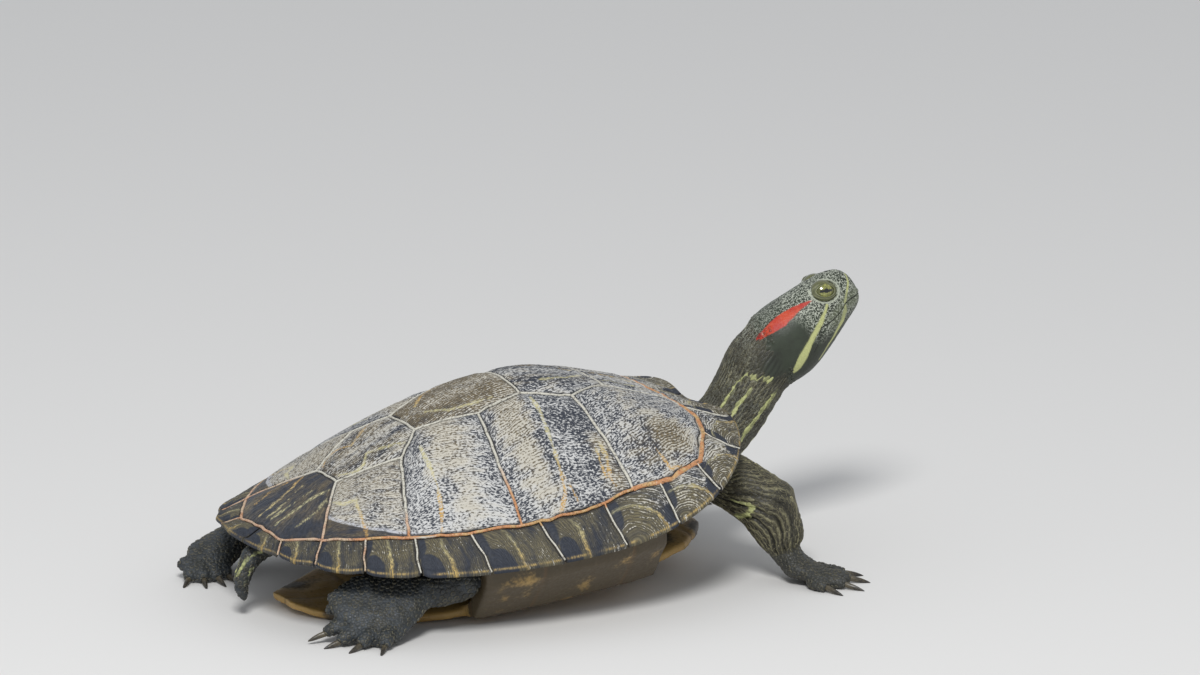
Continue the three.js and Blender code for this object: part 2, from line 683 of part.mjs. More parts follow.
function buildLeg(leg, side, word, clawCount, clawName, walls) {
  const shaft = legSolid(leg, side, 0).subtract(walls);
  const foot = footSolid(leg, side, 0).subtract(walls);
  const cuts = leg.cuts.map(([point, normal]) => [
    [point[0], point[1] * side, point[2]],
    [normal[0], normal[1] * side, normal[2]],
  ]);
  const [upper, rest] = beforeAndAfter(shaft, ...cuts[0]);
  const [lower] = beforeAndAfter(rest, ...cuts[1]);
  let [, end] = beforeAndAfter(foot, ...cuts[1]);
  leg.toes.slice(0, clawCount).forEach((toe, i) => {
    const pose = clawPose(toe, side);
    end = end.subtract(moved(solidOf(clawGeometry(leg.claw, GAP)), pose.matrixWorld));
    const rested = moved(solidOf(clawGeometry(leg.claw, 0)), pose.matrixWorld).intersect(aboveFloor);
    const geometry = geometryOf(moved(rested, pose.matrixWorld.clone().invert()));
    const claw = add(turtle, `${clawName}_${word}_${i + 1}`, geometry, clawHorn);
    claw.position.copy(pose.position);
    claw.rotation.copy(pose.rotation);
  });
  const pieces = [upper, lower, end.intersect(aboveFloor)];
  leg.names.forEach((name, i) => add(turtle, `${name}_${word}`, geometryOf(pieces[i], FLESH_FACET), skin));
}

// ---- tail and trunk ----

const TAIL = [[36, 0, 33, 7, 6.5], [20, 0, 33.5, 6, 5.6], [8, -0.3, 30.5, 4.8, 4.8], [0.5, -0.8, 23, 4, 4],
  [-1.5, -1.2, 15, 3.2, 3.2], [0, -1.4, 8.2, 2.1, 2.1]];

function tailSolid(grow) {
  return solidOf(limb(TAIL, { up: [0, 1, 0], around: 10, along: 10, blunt: 0.45, grow }));
}

// The trunk fills the shell and shows as soft skin in the openings for the neck, legs and tail.
function trunkForm() {
  const underside = -PLASTRON_DEPTH + PLASTRON_WALL + TRUNK_GAP + 0.4;
  return solidOf(reshapedSphere(22, 9, (t, turn) => {
    const [cos] = rimPoint(turn);
    const reach = 0.76 + 0.08 * cos ** 2;
    const fill = fullness(t, 0.6);
    const tuck = t <= 0.5 ? 1 : 0.80 + 0.20 * fill ** 12;
    const [x, y] = domePoint(reach * fill * tuck, turn);
    const roof = domePoint(reach * fill, turn)[2] - SHELL_WALL - TRUNK_GAP - 0.6;
    const edge = domePoint(reach, turn)[2] - SHELL_WALL - TRUNK_GAP - 2;
    return [x, y, t <= 0.5 ? Math.max(roof, edge) : underside + (edge - underside) * fill ** 12];
  }));
}

function buildTrunk() {
  let trunk = moved(trunkForm().subtract(plastronSolid(TRUNK_GAP)), toFloor);
  trunk = trunk.subtract(neckSolid(TRUNK_GAP)).subtract(tailSolid(TRUNK_GAP));
  for (const side of [1, -1]) {
    trunk = trunk.subtract(legSolid(FORELEG, side, TRUNK_GAP));
    trunk = trunk.subtract(legSolid(hindlegOn(side), side, TRUNK_GAP));
    trunk = trunk.subtract(footSolid(hindlegOn(side), side, TRUNK_GAP));
  }
  add(shellFrame, 'trunk', geometryOf(moved(trunk, toShell), TRUNK_FACET), skin);
}

// ---- assembly ----

function buildTurtle() {
  const walls = moved(solidOf(carapaceWall(GAP)).add(plastronSolid(GAP)), toFloor);
  buildCarapace();
  buildMarginals();
  buildPlastron();
  buildHead();
  buildNeck(walls);
  for (const [side, word] of [[1, 'left'], [-1, 'right']]) {
    buildLeg(FORELEG, side, word, 5, 'front_claw', walls);
    buildLeg(hindlegOn(side), side, word, 4, 'hind_claw', walls);
  }
  add(turtle, 'tail', geometryOf(tailSolid(0).subtract(walls), FLESH_FACET), skin);
  buildTrunk();
}

buildTurtle();

// The origin is under the middle of the model, on the floor.
const extent = new THREE.Box3().setFromObject(turtle, true);
turtle.position.set(-(extent.min.x + extent.max.x) / 2, -(extent.min.y + extent.max.y) / 2, -extent.min.z);

export default turtle;
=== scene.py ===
import math

import bpy
import numpy as np
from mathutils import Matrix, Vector
from mathutils.bvhtree import BVHTree
from mathutils.kdtree import KDTree


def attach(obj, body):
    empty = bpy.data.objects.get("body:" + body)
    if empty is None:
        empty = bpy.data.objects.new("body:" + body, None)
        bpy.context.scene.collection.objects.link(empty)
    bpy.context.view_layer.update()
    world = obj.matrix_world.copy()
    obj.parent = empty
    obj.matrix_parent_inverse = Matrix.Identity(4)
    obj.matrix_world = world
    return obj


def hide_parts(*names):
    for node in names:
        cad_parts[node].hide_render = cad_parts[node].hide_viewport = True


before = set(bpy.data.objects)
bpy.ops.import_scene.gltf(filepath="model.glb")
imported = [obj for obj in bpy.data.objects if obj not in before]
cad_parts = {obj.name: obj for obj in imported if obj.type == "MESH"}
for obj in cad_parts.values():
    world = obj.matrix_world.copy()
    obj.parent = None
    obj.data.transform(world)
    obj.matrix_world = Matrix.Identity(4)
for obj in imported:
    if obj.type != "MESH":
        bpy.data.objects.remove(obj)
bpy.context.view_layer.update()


# ==== Vertebral and costal scutes ====
# Five vertebral scutes down the middle and four costals on each side are thin plates of keratin on
# one bony dome. They grow in fine ridges, and dry mineral film whitens their crests. Each is a grid
# laid on that dome and given its wall by a Solidify.
SHELL = 0.230                       # length of the carapace
SHELL_PITCH = math.radians(5.3)
SHELL_PLACE = (-0.14837, 0.0, 0.0239)
HALF_WIDTH, WIDEST_AT = 0.398, 0.578
FRONT_POWER, REAR_POWER, SIDE_POWER = 3.15, 2.52, 2.5
DOME_RISE, DOME_POWER, DOME_FALL = 0.254, 1.7, 1.12
FRONT_RISE, REAR_RISE = 0.126, 0.050
NUCHAL_DIP, NUCHAL_REACH = 0.022, 0.09


def dome_share(x, y):
    """How far out a place of the plan, in shell lengths, lies: 0 in the middle, 1 on the rim."""
    low, high = np.full(x.shape, 1e-4), np.full(x.shape, 1.4)
    ahead = x > WIDEST_AT
    for _ in range(32):
        share = (low + high) / 2
        dip = NUCHAL_DIP * hump(y, NUCHAL_REACH) * share ** 4
        run = np.where(ahead, (x - WIDEST_AT + dip) / (1 - WIDEST_AT), (WIDEST_AT - x) / WIDEST_AT) / share
        beside = np.abs(y) / (HALF_WIDTH * share)
        over = run ** np.where(ahead, FRONT_POWER, REAR_POWER) + beside ** SIDE_POWER
        low, high = np.where(over > 1, share, low), np.where(over > 1, high, share)
    return share


def dome_height(x, y):
    """Height of the dome over the plan, with its curled front and rear rim, in shell lengths."""
    share = dome_share(x, y)
    run = np.where(x > WIDEST_AT, (x - WIDEST_AT) / (1 - WIDEST_AT), (WIDEST_AT - x) / WIDEST_AT)
    curl = run ** 2 * np.where(x > WIDEST_AT, FRONT_RISE, REAR_RISE)
    return curl + DOME_RISE * np.clip(1 - share ** DOME_POWER, 0, 1) ** DOME_FALL


def on_dome(x, y, lift=0.0):
    """Points and outward normals of the dome over the plan, in metres, before the shell is pitched."""
    step = 0.002
    z = dome_height(x, y)
    slope_x = (dome_height(x + step, y) - dome_height(x - step, y)) / (2 * step)
    slope_y = (dome_height(x, y + step) - dome_height(x, y - step)) / (2 * step)
    normals = np.stack([-slope_x, -slope_y, np.ones_like(z)], -1)
    normals /= np.linalg.norm(normals, axis=-1, keepdims=True)
    points = np.stack([x, y, z], -1) * SHELL
    return points + normals * np.asarray(lift)[..., None], normals


def pitched(points):
    """Shell points turned nose up and set in their place over the floor."""
    cos, sin = math.cos(SHELL_PITCH), math.sin(SHELL_PITCH)
    x, y, z = points[..., 0], points[..., 1], points[..., 2]
    return np.stack([x * cos - z * sin, y, x * sin + z * cos], -1) + np.array(SHELL_PLACE)


def soft_step(low, high, value):
    """0 below low and 1 above high, with a smooth climb between."""
    t = np.clip((value - low) / (high - low), 0, 1)
    return t * t * (3 - 2 * t)


def hump(away, half):
    """1 where away is 0, falling off smoothly to either side over about half."""
    return np.exp(-((away / half) ** 2))


def wave(turns):
    return np.cos(2 * math.pi * turns)


NOISE_SIZE = 24
NOISE_TABLE = np.random.default_rng(5).uniform(-1, 1, (NOISE_SIZE,) * 3)


def lumps(points, size, octaves=2):
    """Smooth seeded noise from -1 to 1 over points in metres, with lumps of about that size."""
    total, weight, strength = np.zeros(points.shape[:-1]), 0.0, 1.0
    for octave in range(octaves):
        place = points / size * 2 ** octave + 17.3 * octave
        cell = np.floor(place).astype(int)
        part = place - cell
        part = part * part * (3 - 2 * part)
        value = 0.0
        for corner in np.ndindex(2, 2, 2):
            pick = [(cell[..., i] + corner[i]) % NOISE_SIZE for i in range(3)]
            sides = [part[..., i] if corner[i] else 1 - part[..., i] for i in range(3)]
            share = np.prod(sides, axis=0)
            value = value + share * NOISE_TABLE[pick[0], pick[1], pick[2]]
        total += value * strength
        weight += strength
        strength /= 2
    return total / weight


def points_of(piece, layer="co"):
    """The places of a piece's points in metres, or their normals."""
    flat = np.empty(len(piece.data.vertices) * 3)
    piece.data.vertices.foreach_get(layer, flat)
    return flat.reshape(-1, 3)


def set_points(piece, points):
    piece.data.vertices.foreach_set("co", points.astype(np.float32).ravel())
    piece.data.update()


def set_note(piece, name, values):
    """Writes one number on each point, for the piece's finish to read."""
    layer = piece.data.attributes.get(name) or piece.data.attributes.new(name, "FLOAT", "POINT")
    values = np.broadcast_to(values, len(piece.data.vertices)).astype(np.float32)
    layer.data.foreach_set("value", values)


def pick_only(piece):
    bpy.ops.object.select_all(action="DESELECT")
    piece.select_set(True)
    bpy.context.view_layer.objects.active = piece


def primitive(add, name, **sizes):
    """A new primitive at the origin; everything else is deselected first."""
    bpy.ops.object.select_all(action="DESELECT")
    add(location=(0, 0, 0), **sizes)
    piece = bpy.context.object
    piece.name = piece.data.name = name
    return piece


def smooth(piece):
    piece.data.polygons.foreach_set("use_smooth", np.ones(len(piece.data.polygons), bool))


def shaped(piece, kind, **settings):
    """Adds a modifier to a piece and applies it."""
    change = piece.modifiers.new(kind, kind)
    for name, value in settings.items():
        setattr(change, name, value)
    bpy.context.view_layer.objects.active = piece
    bpy.ops.object.modifier_apply(modifier=change.name)


def sheet(name, across, along, place):
    """A grid whose points are laid where place(u, v) says; u and v run from 0 to 1."""
    add = bpy.ops.mesh.primitive_grid_add
    piece = primitive(add, name, x_subdivisions=across, y_subdivisions=along, size=1)
    flat = points_of(piece)
    points, notes = place(flat[:, 0] + 0.5, flat[:, 1] + 0.5)
    set_points(piece, points)
    for note, values in notes.items():
        set_note(piece, note, values)
    return piece


def thicken(piece, thickness):
    """Gives a sheet its wall, inwards, and keeps its edges crisp."""
    shaped(piece, "SOLIDIFY", thickness=thickness, offset=-1)
    smooth(piece)
    pick_only(piece)
    bpy.ops.object.shade_smooth_by_angle(angle=math.radians(50))
    return piece


def dress(piece, finish, slot, *nodes):
    """Gives a piece its finish, hangs it under the root, and hides the solids it stands for."""
    piece.data.materials.append(finish)
    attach(piece, "root")
    if nodes:
        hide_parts(*nodes)


class Number:
    """A number in a material. Sums on it add Math nodes."""

    def __init__(self, finish, socket):
        self.finish, self.socket = finish, socket

    def math(self, operation, *values):
        settings = {"operation": operation}
        return self.finish.node("ShaderNodeMath", settings, dict(enumerate(values)))

    def __add__(self, other):
        return self.math("ADD", self, other)

    def __sub__(self, other):
        return self.math("SUBTRACT", self, other)

    def __rsub__(self, other):
        return self.math("SUBTRACT", other, self)

    def __mul__(self, other):
        return self.math("MULTIPLY", self, other)

    def __truediv__(self, other):
        return self.math("DIVIDE", self, other)

    def __rtruediv__(self, other):
        return self.math("DIVIDE", other, self)

    def __pow__(self, other):
        return self.math("POWER", self, other)

    __radd__, __rmul__ = __add__, __mul__

    def most(self, other):
        return self.math("MAXIMUM", self, other)

    def size(self):
        return self.math("ABSOLUTE", self)

    def wave(self):
        return self.math("SINE", self * (2 * math.pi)) * 0.5 + 0.5

    def between(self, low, high, first=0.0, last=1.0):
        settings = {"interpolation_type": "SMOOTHSTEP"}
        values = {"Value": self, "From Min": low, "From Max": high, "To Min": first, "To Max": last}
        return self.finish.node("ShaderNodeMapRange", settings, values)


class Finish:
    """One material and its nodes."""

    def __init__(self, name):
        self.material = bpy.data.materials.new(name)
        self.material.use_nodes = True
        self.tree = self.material.node_tree
        self.tree.nodes.clear()

    def node(self, kind, settings={}, values={}, output=0):
        node = self.tree.nodes.new(kind)
        for name, setting in settings.items():
            if name == "stops":
                while len(node.color_ramp.elements) < len(setting):
                    node.color_ramp.elements.new(0.5)
                for element, (position, colour) in zip(node.color_ramp.elements, setting):
                    element.position, element.color = position, (*colour, 1)
            else:
                setattr(node, name, setting)
        for name, value in values.items():
            socket = node.inputs[name]
            if isinstance(value, Number):
                self.tree.links.new(value.socket, socket)
            elif isinstance(value, tuple) and socket.type == "RGBA":
                socket.default_value = (*value, 1)
            else:
                socket.default_value = value
        return Number(self, node.outputs[output]) if node.outputs else None

    def place(self):
        return self.node("ShaderNodeTexCoord", output="Object")

    def note(self, name):
        return self.node("ShaderNodeAttribute", {"attribute_name": name}, output="Fac")

    def noise(self, size, detail=2.0, roughness=0.5, vector=None):
        values = {"Vector": vector or self.place(), "Scale": 1 / size}
        values.update(Detail=detail, Roughness=roughness)
        return self.node("ShaderNodeTexNoise", {}, values, "Fac")

    def cells(self, size):
        """Distance from the borders of packed cells of about that size."""
        values = {"Vector": self.place(), "Scale": 1 / size}
        return self.node("ShaderNodeTexVoronoi", {"feature": "DISTANCE_TO_EDGE"}, values, "Distance")

    def mix(self, share, first, second):
        values = {0: share, 6: first, 7: second}
        return self.node("ShaderNodeMix", {"data_type": "RGBA"}, values, 2)

    def surface(self, colour, roughness, height=None, depth=0.0003, **constants):
        values = {"Base Color": colour, "Roughness": roughness}
        if height is not None:
            relief = {"Height": height, "Strength": 1.0, "Distance": depth}
            values["Normal"] = self.node("ShaderNodeBump", {}, relief)
        for name, value in constants.items():
            values[name.replace("_", " ").title().replace("Ior", "IOR")] = value
        shader = self.node("ShaderNodeBsdfPrincipled", {}, values)
        self.node("ShaderNodeOutputMaterial", {}, {"Surface": shader})
        return self.material


CORNERS = {
    "nuchal back": (0.905, 0), "nuchal corner": (0.896, 0.076), "vertebral 1-2": (0.765, 0.063),
    "vertebral 2-3": (0.574, 0.078), "vertebral 3-4": (0.359, 0.054), "vertebral 4-5": (0.190, 0.044),
    "lateral 2": (0.672, 0.112), "lateral 3": (0.474, 0.098), "lateral 4": (0.302, 0.107),
    "costal 1 front": (0.905, 0.170), "costal 1 shoulder": (0.887, 0.226), "costal 1 side": (0.842, 0.292),
    "costal 1 low": (0.763, 0.314), "costal 1-2": (0.685, 0.314), "costal 2 low": (0.565, 0.326),
    "costal 2-3": (0.440, 0.326), "costal 3 low": (0.330, 0.305), "costal 3-4": (0.227, 0.263),
    "costal 4 low": (0.150, 0.217), "costal 4-5": (0.094, 0.163), "fifth back": (0.044, 0.088),
    "rear back": (0.044, 0),
}
SEAM_HALF = 0.00055 / SHELL         # half of the groove between two scutes
EDGE_WIDTH = 0.0011                 # how far in a scute's border is rounded down
SCUTE_CELL = 0.0006
HORN_WALL = 0.0012
SCUTE_SWELL, SCUTE_EDGE_DROP, SCUTE_SUNK = 0.0005, 0.00045, 0.0004   # over and under the dome
ARCH = 1.12                         # how much longer a scute is over the dome than on the plan
GROWTH_STEP, RING_STEP = 0.0026, 0.0062   # between growth lines, and between rings along a border


def run_along(names, share):
    """Points at shares of the length of the broken line through named corners."""
    knots = np.array([CORNERS[name] if isinstance(name, str) else name for name in names], float)
    lengths = np.r_[0, np.cumsum(np.linalg.norm(np.diff(knots, axis=0), axis=1))]
    at = np.asarray(share) * lengths[-1]
    return np.stack([np.interp(at, lengths, knots[:, 0]), np.interp(at, lengths, knots[:, 1])], -1)


def length_of(line):
    return np.linalg.norm(np.diff(line, axis=0), axis=1).sum()


def on_plan(x, y, z=0.0):
    """Plan places as points in metres, for the noise."""
    return np.stack([x, y, z + 0 * x], -1) * SHELL


def swayed(plan):
    """Seams are never ruled lines: the whole plan sways a little, the same for every piece."""
    x, y = plan[..., 0], plan[..., 1]
    flat = on_plan(x, np.abs(y))
    sway_x = lumps(flat + 0.31, 0.022) * 0.0036 + lumps(flat + 0.53, 0.0085) * 0.0042
    sway_y = lumps(flat + 0.77, 0.022) * 0.0030 + lumps(flat + 0.93, 0.0085) * 0.0042
    sway_y = sway_y * np.sign(y) * soft_step(0.0, 0.03, np.abs(y))
    inside = 1 - soft_step(0.93, 0.99, dome_share(x, y))
    return np.stack([x + sway_x * inside, y + sway_y * inside], -1)


def distance_to(plan, line):
    """Distance in metres from plan places to a broken line."""
    best = np.full(plan.shape[:-1], 9.0)
    for start, end in zip(line[:-1], line[1:]):
        start, run = np.array(start, float), np.array(end, float) - np.array(start, float)
        at = np.clip(((plan - start) @ run) / max(run @ run, 1e-12), 0, 1)
        best = np.minimum(best, np.linalg.norm(plan - start - at[..., None] * run, axis=-1))
    return best * SHELL


def patch(u, v, low, high, left, right):
    """A four-sided patch of the plan: low and high run with u, left and right run with v."""
    first, last = ([run_along(line, [end])[0] for line in (low, high)] for end in (0, 1))
    sides = (1 - v)[:, None] * run_along(low, u) + v[:, None] * run_along(high, u)
    sides = sides + (1 - u)[:, None] * run_along(left, v) + u[:, None] * run_along(right, v)
    u, v = u[:, None], v[:, None]
    sides = sides - (1 - u) * (1 - v) * first[0] - u * (1 - v) * last[0]
    return sides - (1 - u) * v * first[1] - u * v * last[1]


def stroke(plan, width, *line):
    """A soft painted line through plan places, as wide as said, on either side of the shell."""
    folded = np.stack([plan[..., 0], np.abs(plan[..., 1])], -1)
    wander = lumps(on_plan(folded[..., 0], folded[..., 1]), 0.004) * 0.0008
    return 1 - soft_step(0.3 * width, 0.62 * width, distance_to(folded, line) + wander)


# Yellow marks of the scutes: a width in metres, then a line on the left half of the plan.
YELLOW_MARKS = [
    (0.0015, (0.588, 0.100), (0.588, 0.135), (0.578, 0.184), (0.566, 0.235), (0.550, 0.292),
     (0.514, 0.330)),
    (0.0015, (0.664, 0.228), (0.663, 0.253), (0.648, 0.287), (0.652, 0.303)),
    (0.0010, (0.650, 0.236), (0.640, 0.290)),
    (0.0011, (0.562, 0.262), (0.566, 0.313)),
    (0.0010, (0.765, 0.255), (0.773, 0.301), (0.822, 0.298)),
    (0.0013, (0.340, 0.112), (0.331, 0.169), (0.324, 0.206), (0.308, 0.248), (0.285, 0.290)),
    (0.0016, (0.150, 0.082), (0.164, 0.122), (0.184, 0.132), (0.178, 0.161), (0.170, 0.190),
     (0.160, 0.222)),
    (0.0012, (0.400, 0.020), (0.434, 0.058), (0.471, 0.070), (0.520, 0.073)),
    (0.0014, (0.330, 0.077), (0.291, 0.051), (0.266, 0.032), (0.244, 0.058), (0.223, 0.061),
     (0.202, 0.034)),
    (0.0015, (0.172, 0.056), (0.137, 0.041), (0.101, 0.037), (0.062, 0.034)),
    (0.0012, (0.165, 0.068), (0.120, 0.090), (0.078, 0.088)),
    (0.0008, (0.150, 0.020), (0.110, 0.012), (0.060, 0.006)),
    (0.0016, (0.860, 0.020), (0.820, 0.035), (0.780, 0.030)),
    (0.0014, (0.735, 0.020), (0.690, 0.050), (0.630, 0.055)),
]


def scute(name, rear, front, inner, outer, side, ridges, tan, chalk):
    """One scute between its four sides. ridges gives the coordinate that its growth lines follow."""
    loops = [run_along(names, np.linspace(0, 1, 25)) for names in (rear, front, inner, outer)]
    wide = max(length_of(loop) for loop in loops[2:]) * SHELL
    deep = max(length_of(loop) for loop in loops[:2]) * SHELL * ARCH

    def place(u, v):
        u = u if side > 0 else 1 - u
        plan = patch(u, v, inner, outer, rear, front)
        edge = np.min([distance_to(plan, loop) for loop in loops], axis=0)
        inward = plan.mean(axis=0) - plan
        inward /= np.maximum(np.linalg.norm(inward, axis=-1, keepdims=True), 1e-9)
        ahead_low = soft_step(0.74, 0.84, plan[:, 0]) * soft_step(0.15, 0.20, np.abs(plan[:, 1]))
        pull = SEAM_HALF * 1.3 * (1 + ahead_low) * (1 - soft_step(0, 0.004, edge))
        plan = plan + inward * pull[:, None]
        laid = swayed(plan)
        flat = on_plan(plan[:, 0], plan[:, 1] * side)
        grain, along = ridges(u, v, plan, wide)
        crest = wave(grain / GROWTH_STEP + 0.25 * lumps(flat, 0.006))
        ring = wave(edge / RING_STEP + 0.2 * lumps(flat, 0.02))
        lift = SCUTE_SWELL * soft_step(0, 0.006, edge) - SCUTE_SUNK
        lift -= SCUTE_EDGE_DROP * (1 - soft_step(0, EDGE_WIDTH, edge))
        relief = 0.00007 * crest + 0.00009 * ring + 0.00025 * lumps(flat, 0.012)
        lift += soft_step(0.0015, 0.004, edge) * relief
        points, _ = on_dome(laid[:, 0], laid[:, 1], lift)
        notes = {"edge": edge * 1000, "grain": grain * 1000, "along": along * 1000, "low": v,
                 "mark": np.max([stroke(laid, *mark) for mark in YELLOW_MARKS], axis=0),
                 "wet": 0.5 if ridges is fanned else wet_share(points),
                 "tan": tan(u, v), "chalk": chalk(u, v)}
        points[:, 1] *= side
        return pitched(points), notes

    cells = [max(int(length / SCUTE_CELL), 12) for length in (wide, deep)]
    return thicken(sheet(name, *cells, place), HORN_WALL)


def wet_share(points):
    """1 on the low rear of the shell that stays wet, -1 well above it, and 0 on the line between."""
    line = 0.0220 - 0.209 * (points[..., 0] - 0.0285)
    return np.clip((line - points[..., 2]) / 0.002 + 0.3 * lumps(points, 0.006), -1, 1)


def scute_horn(name, slate, olive, mark):
    """Dark keratin with tan growth, yellow marks and fine growth lines, flecked with a dry white film; a pale
    band of painted glare lies along the wet line.
    """
    horn = Finish(name)
    names = ("edge", "grain", "along", "mark", "tan", "chalk", "wet", "low")
    edge, grain, along, marked, tan, chalk, wet, low = map(horn.note, names)
    broad, fine = horn.noise(0.015, 3.0), horn.noise(0.0010, 3.0, 0.65)

    def drawn(size, stretch, detail):
        """Noise drawn out along the growth lines, sizes in millimetres."""
        flow = horn.node("ShaderNodeCombineXYZ", {}, {"X": grain, "Y": along / stretch})
        return horn.noise(size, detail, 0.6, flow)

    dash, streak = drawn(0.62, 3.0, 2.0), drawn(3.4, 3.0, 3.0)
    lines = (grain / 1.2 + streak * 2.2 + fine * 0.5).wave()
    lined = (tan * 0.8 + (streak - 0.5) * 1.2).between(0.0, 0.7, 0.12, 0.5)
    tanned = (tan + (broad - 0.5) * 0.9 + (streak - 0.5) * 1.3).between(0.2, 0.85)
    base = horn.mix(tanned, slate, olive)
    base = horn.mix(dash.between(0.42, 0.6) * 0.55, base, (0.014, 0.017, 0.024))
    base = horn.mix((1 - lines) * lined * 1.1, base, (0.030, 0.027, 0.024))
    dry = 1 - wet.between(-0.15, 0.1)
    cover = lines * lined * 0.7 + (dash - 0.5) * 1.9 + (fine - 0.5) * 1.5
    cover = cover + (streak - 0.5) * 0.55 + (chalk - 0.5) * 0.9
    white = (cover + (broad - 0.5) * 0.4).between(-0.02, 0.34) * dry
    film = horn.mix(tanned * 0.6, (0.60, 0.60, 0.585), (0.53, 0.48, 0.36))
    colour = horn.mix(white * 0.93, base, film)
    # A pale bluish band just above the wet line is painted glare of the water line.
    waterline_glare = wet.between(-0.75, -0.35) * (1 - wet.between(-0.1, 0.12))
    waterline_glare = waterline_glare * fine.between(0.36, 0.55, 0.15, 1.0)
    colour = horn.mix(waterline_glare * 0.8, colour, (0.46, 0.47, 0.51))
    worn = marked * (fine * 0.5 + dash * 0.8).between(0.50, 0.78, 1.0, 0.12)
    colour = horn.mix(worn, colour, horn.mix(low.between(0.45, 0.9), (0.60, 0.55, 0.30), mark))
    outline = (1 - (edge + (fine - 0.5) * 1.2).between(0.2, 1.1)) * broad.between(0.42, 0.56, 0.25, 0.9)
    colour = horn.mix(outline, colour, (0.022, 0.022, 0.026))
    height = lines * (lined + 0.25) + fine * 0.6 + dash * 0.5
    roughness = fine.between(0.2, 0.8, 0.5, 0.72) - (1 - dry) * 0.2
    return horn.surface(colour, roughness, height, 0.00022, specular_ior_level=0.35)


SLATE_BLUE, OLIVE, ORANGE_YELLOW = (0.034, 0.040, 0.056), (0.215, 0.168, 0.095), (0.60, 0.36, 0.10)
scute_finish = scute_horn("scute_horn", SLATE_BLUE, OLIVE, ORANGE_YELLOW)


# Growth lines: each way gives the distance across them and along them, in metres.
def along_spine(u, v, plan, wide):
    return np.abs(plan[:, 1]) * SHELL, plan[:, 0] * SHELL


def along_rim(u, v, plan, wide):
    return v * 0.055 + 0.004 * np.sin(u * math.pi), u * wide


def fanned(u, v, plan, wide):
    ahead = 0.24 - plan[:, 0]
    return np.arctan2(plan[:, 1], ahead) * 0.020, np.hypot(plan[:, 1], ahead) * SHELL


# Each row: corners from rear to front, the way the growth lines run, then how tan and how filmed.
VERTEBRALS = [
    (["vertebral 1-2", "nuchal corner"], along_spine, 0.35, 0.58),
    (["vertebral 2-3", "lateral 2", "vertebral 1-2"], along_spine, 0.30, 0.50),
    (["vertebral 3-4", "lateral 3", "vertebral 2-3"], along_spine, 0.80, 0.32),
    (["vertebral 4-5", "lateral 4", "vertebral 3-4"], along_spine, 0.55, 0.48),
    (["fifth back", "costal 4-5", "vertebral 4-5"], fanned, 0.36, 0.05),
]
for number, (names, ridges, tan_weight, film_weight) in enumerate(VERTEBRALS, 1):
    left_side = [CORNERS[corner] for corner in names]
    right_side = [(x, -y) for x, y in left_side]
    ends = [[right_side[end], left_side[end]] for end in (0, -1)]
    piece = scute(f"vertebral_scute_{number}", *ends, right_side, left_side, 1, ridges,
                  lambda u, v: tan_weight + 0 * u,
                  lambda u, v: film_weight + 0.12 * wave(2 * (v - 0.5)) + 0.1 * (u - 0.5))
    dress(piece, scute_finish, "carapace_horn", f"vertebral_{number}")

# Each row: inner and outer corners from rear to front, then tan and film; u runs forward, v outward.
COSTALS = [
    (["lateral 2", "vertebral 1-2", "nuchal corner"],
     ["costal 1-2", "costal 1 low", "costal 1 side", "costal 1 shoulder", "costal 1 front"],
     lambda u, v: 0.25 + 0.25 * hump(u - 0.45, 0.2) + 0.9 * hump(u - 0.5, 0.13) * hump(v - 0.72, 0.14),
     lambda u, v: 0.56 + 0.06 * v - 0.36 * hump(u - 0.5, 0.13) * hump(v - 0.72, 0.14)
     - 0.25 * hump(u - 0.22, 0.14) * hump(v - 0.75, 0.16)),
    (["lateral 3", "vertebral 2-3", "lateral 2"], ["costal 2-3", "costal 2 low", "costal 1-2"],
     lambda u, v: 0.95 * hump(u - 0.28, 0.22) * (1 - 0.55 * v)
     + 0.75 * hump(u - 0.92, 0.12) * soft_step(0.3, 0.6, v),
     lambda u, v: 0.47 + 0.14 * hump(u - 0.22, 0.25) * (0.5 + v) + 0.10 * hump(u - 0.62, 0.10)),
    (["lateral 4", "vertebral 3-4", "lateral 3"], ["costal 3-4", "costal 3 low", "costal 2-3"],
     lambda u, v: 0.12 + 0.8 * hump(u - 0.6, 0.22) * (1 - 0.6 * v),
     lambda u, v: 0.50 + 0.20 * v + 0.06 * hump(u - 0.65, 0.25)),
    (["vertebral 4-5", "lateral 4"], ["costal 4-5", "costal 4 low", "costal 3-4"],
     lambda u, v: 0.45 + 0.3 * (1 - v),
     lambda u, v: 0.52 + 0.08 * v),
]
for side, word in ((1, "left"), (-1, "right")):
    for number, (inner, outer, tan, film) in enumerate(COSTALS, 1):
        piece = scute(f"costal_scute_{word}_{number}", [inner[0], outer[0]], [inner[-1], outer[-1]],
                      inner, outer, side, along_rim, tan, film)
        dress(piece, scute_finish, "carapace_horn", f"costal_{word}_{number}")


# ==== Marginal scutes and nuchal ====
# Twelve marginals on each side and a small nuchal in front wrap the rim from above to below.
# Each is a folded plate of olive horn with one yellow bar and a dark blotch beside a seam.
RIM_WALL, RIM_SHEET = 0.0026, 0.0009
RIM_SWELL, RIM_SUNK, RIM_EDGE_DROP, RIM_SLOPE = 0.0007, 0.0006, 0.0004, 0.0016
RIM_RING_STEP = 0.0034              # between the growth rings of a marginal
RIM_GAP = 0.0007                    # half of the groove between two marginals
NOTCH_HALF, NOTCH_DEPTH = 0.014, 0.012
RIM_TOP, RIM_TURN = 0.62, 0.76      # shares of a marginal's grid where its top ends and its roll ends
NUCHAL_HALF = 0.030
RING = ["rear back", "fifth back", "costal 4-5", "costal 4 low", "costal 3-4", "costal 3 low", "costal 2-3",
        "costal 2 low", "costal 1-2", "costal 1 low", "costal 1 side", "costal 1 shoulder", "costal 1 front",
        "nuchal corner", "nuchal back"]
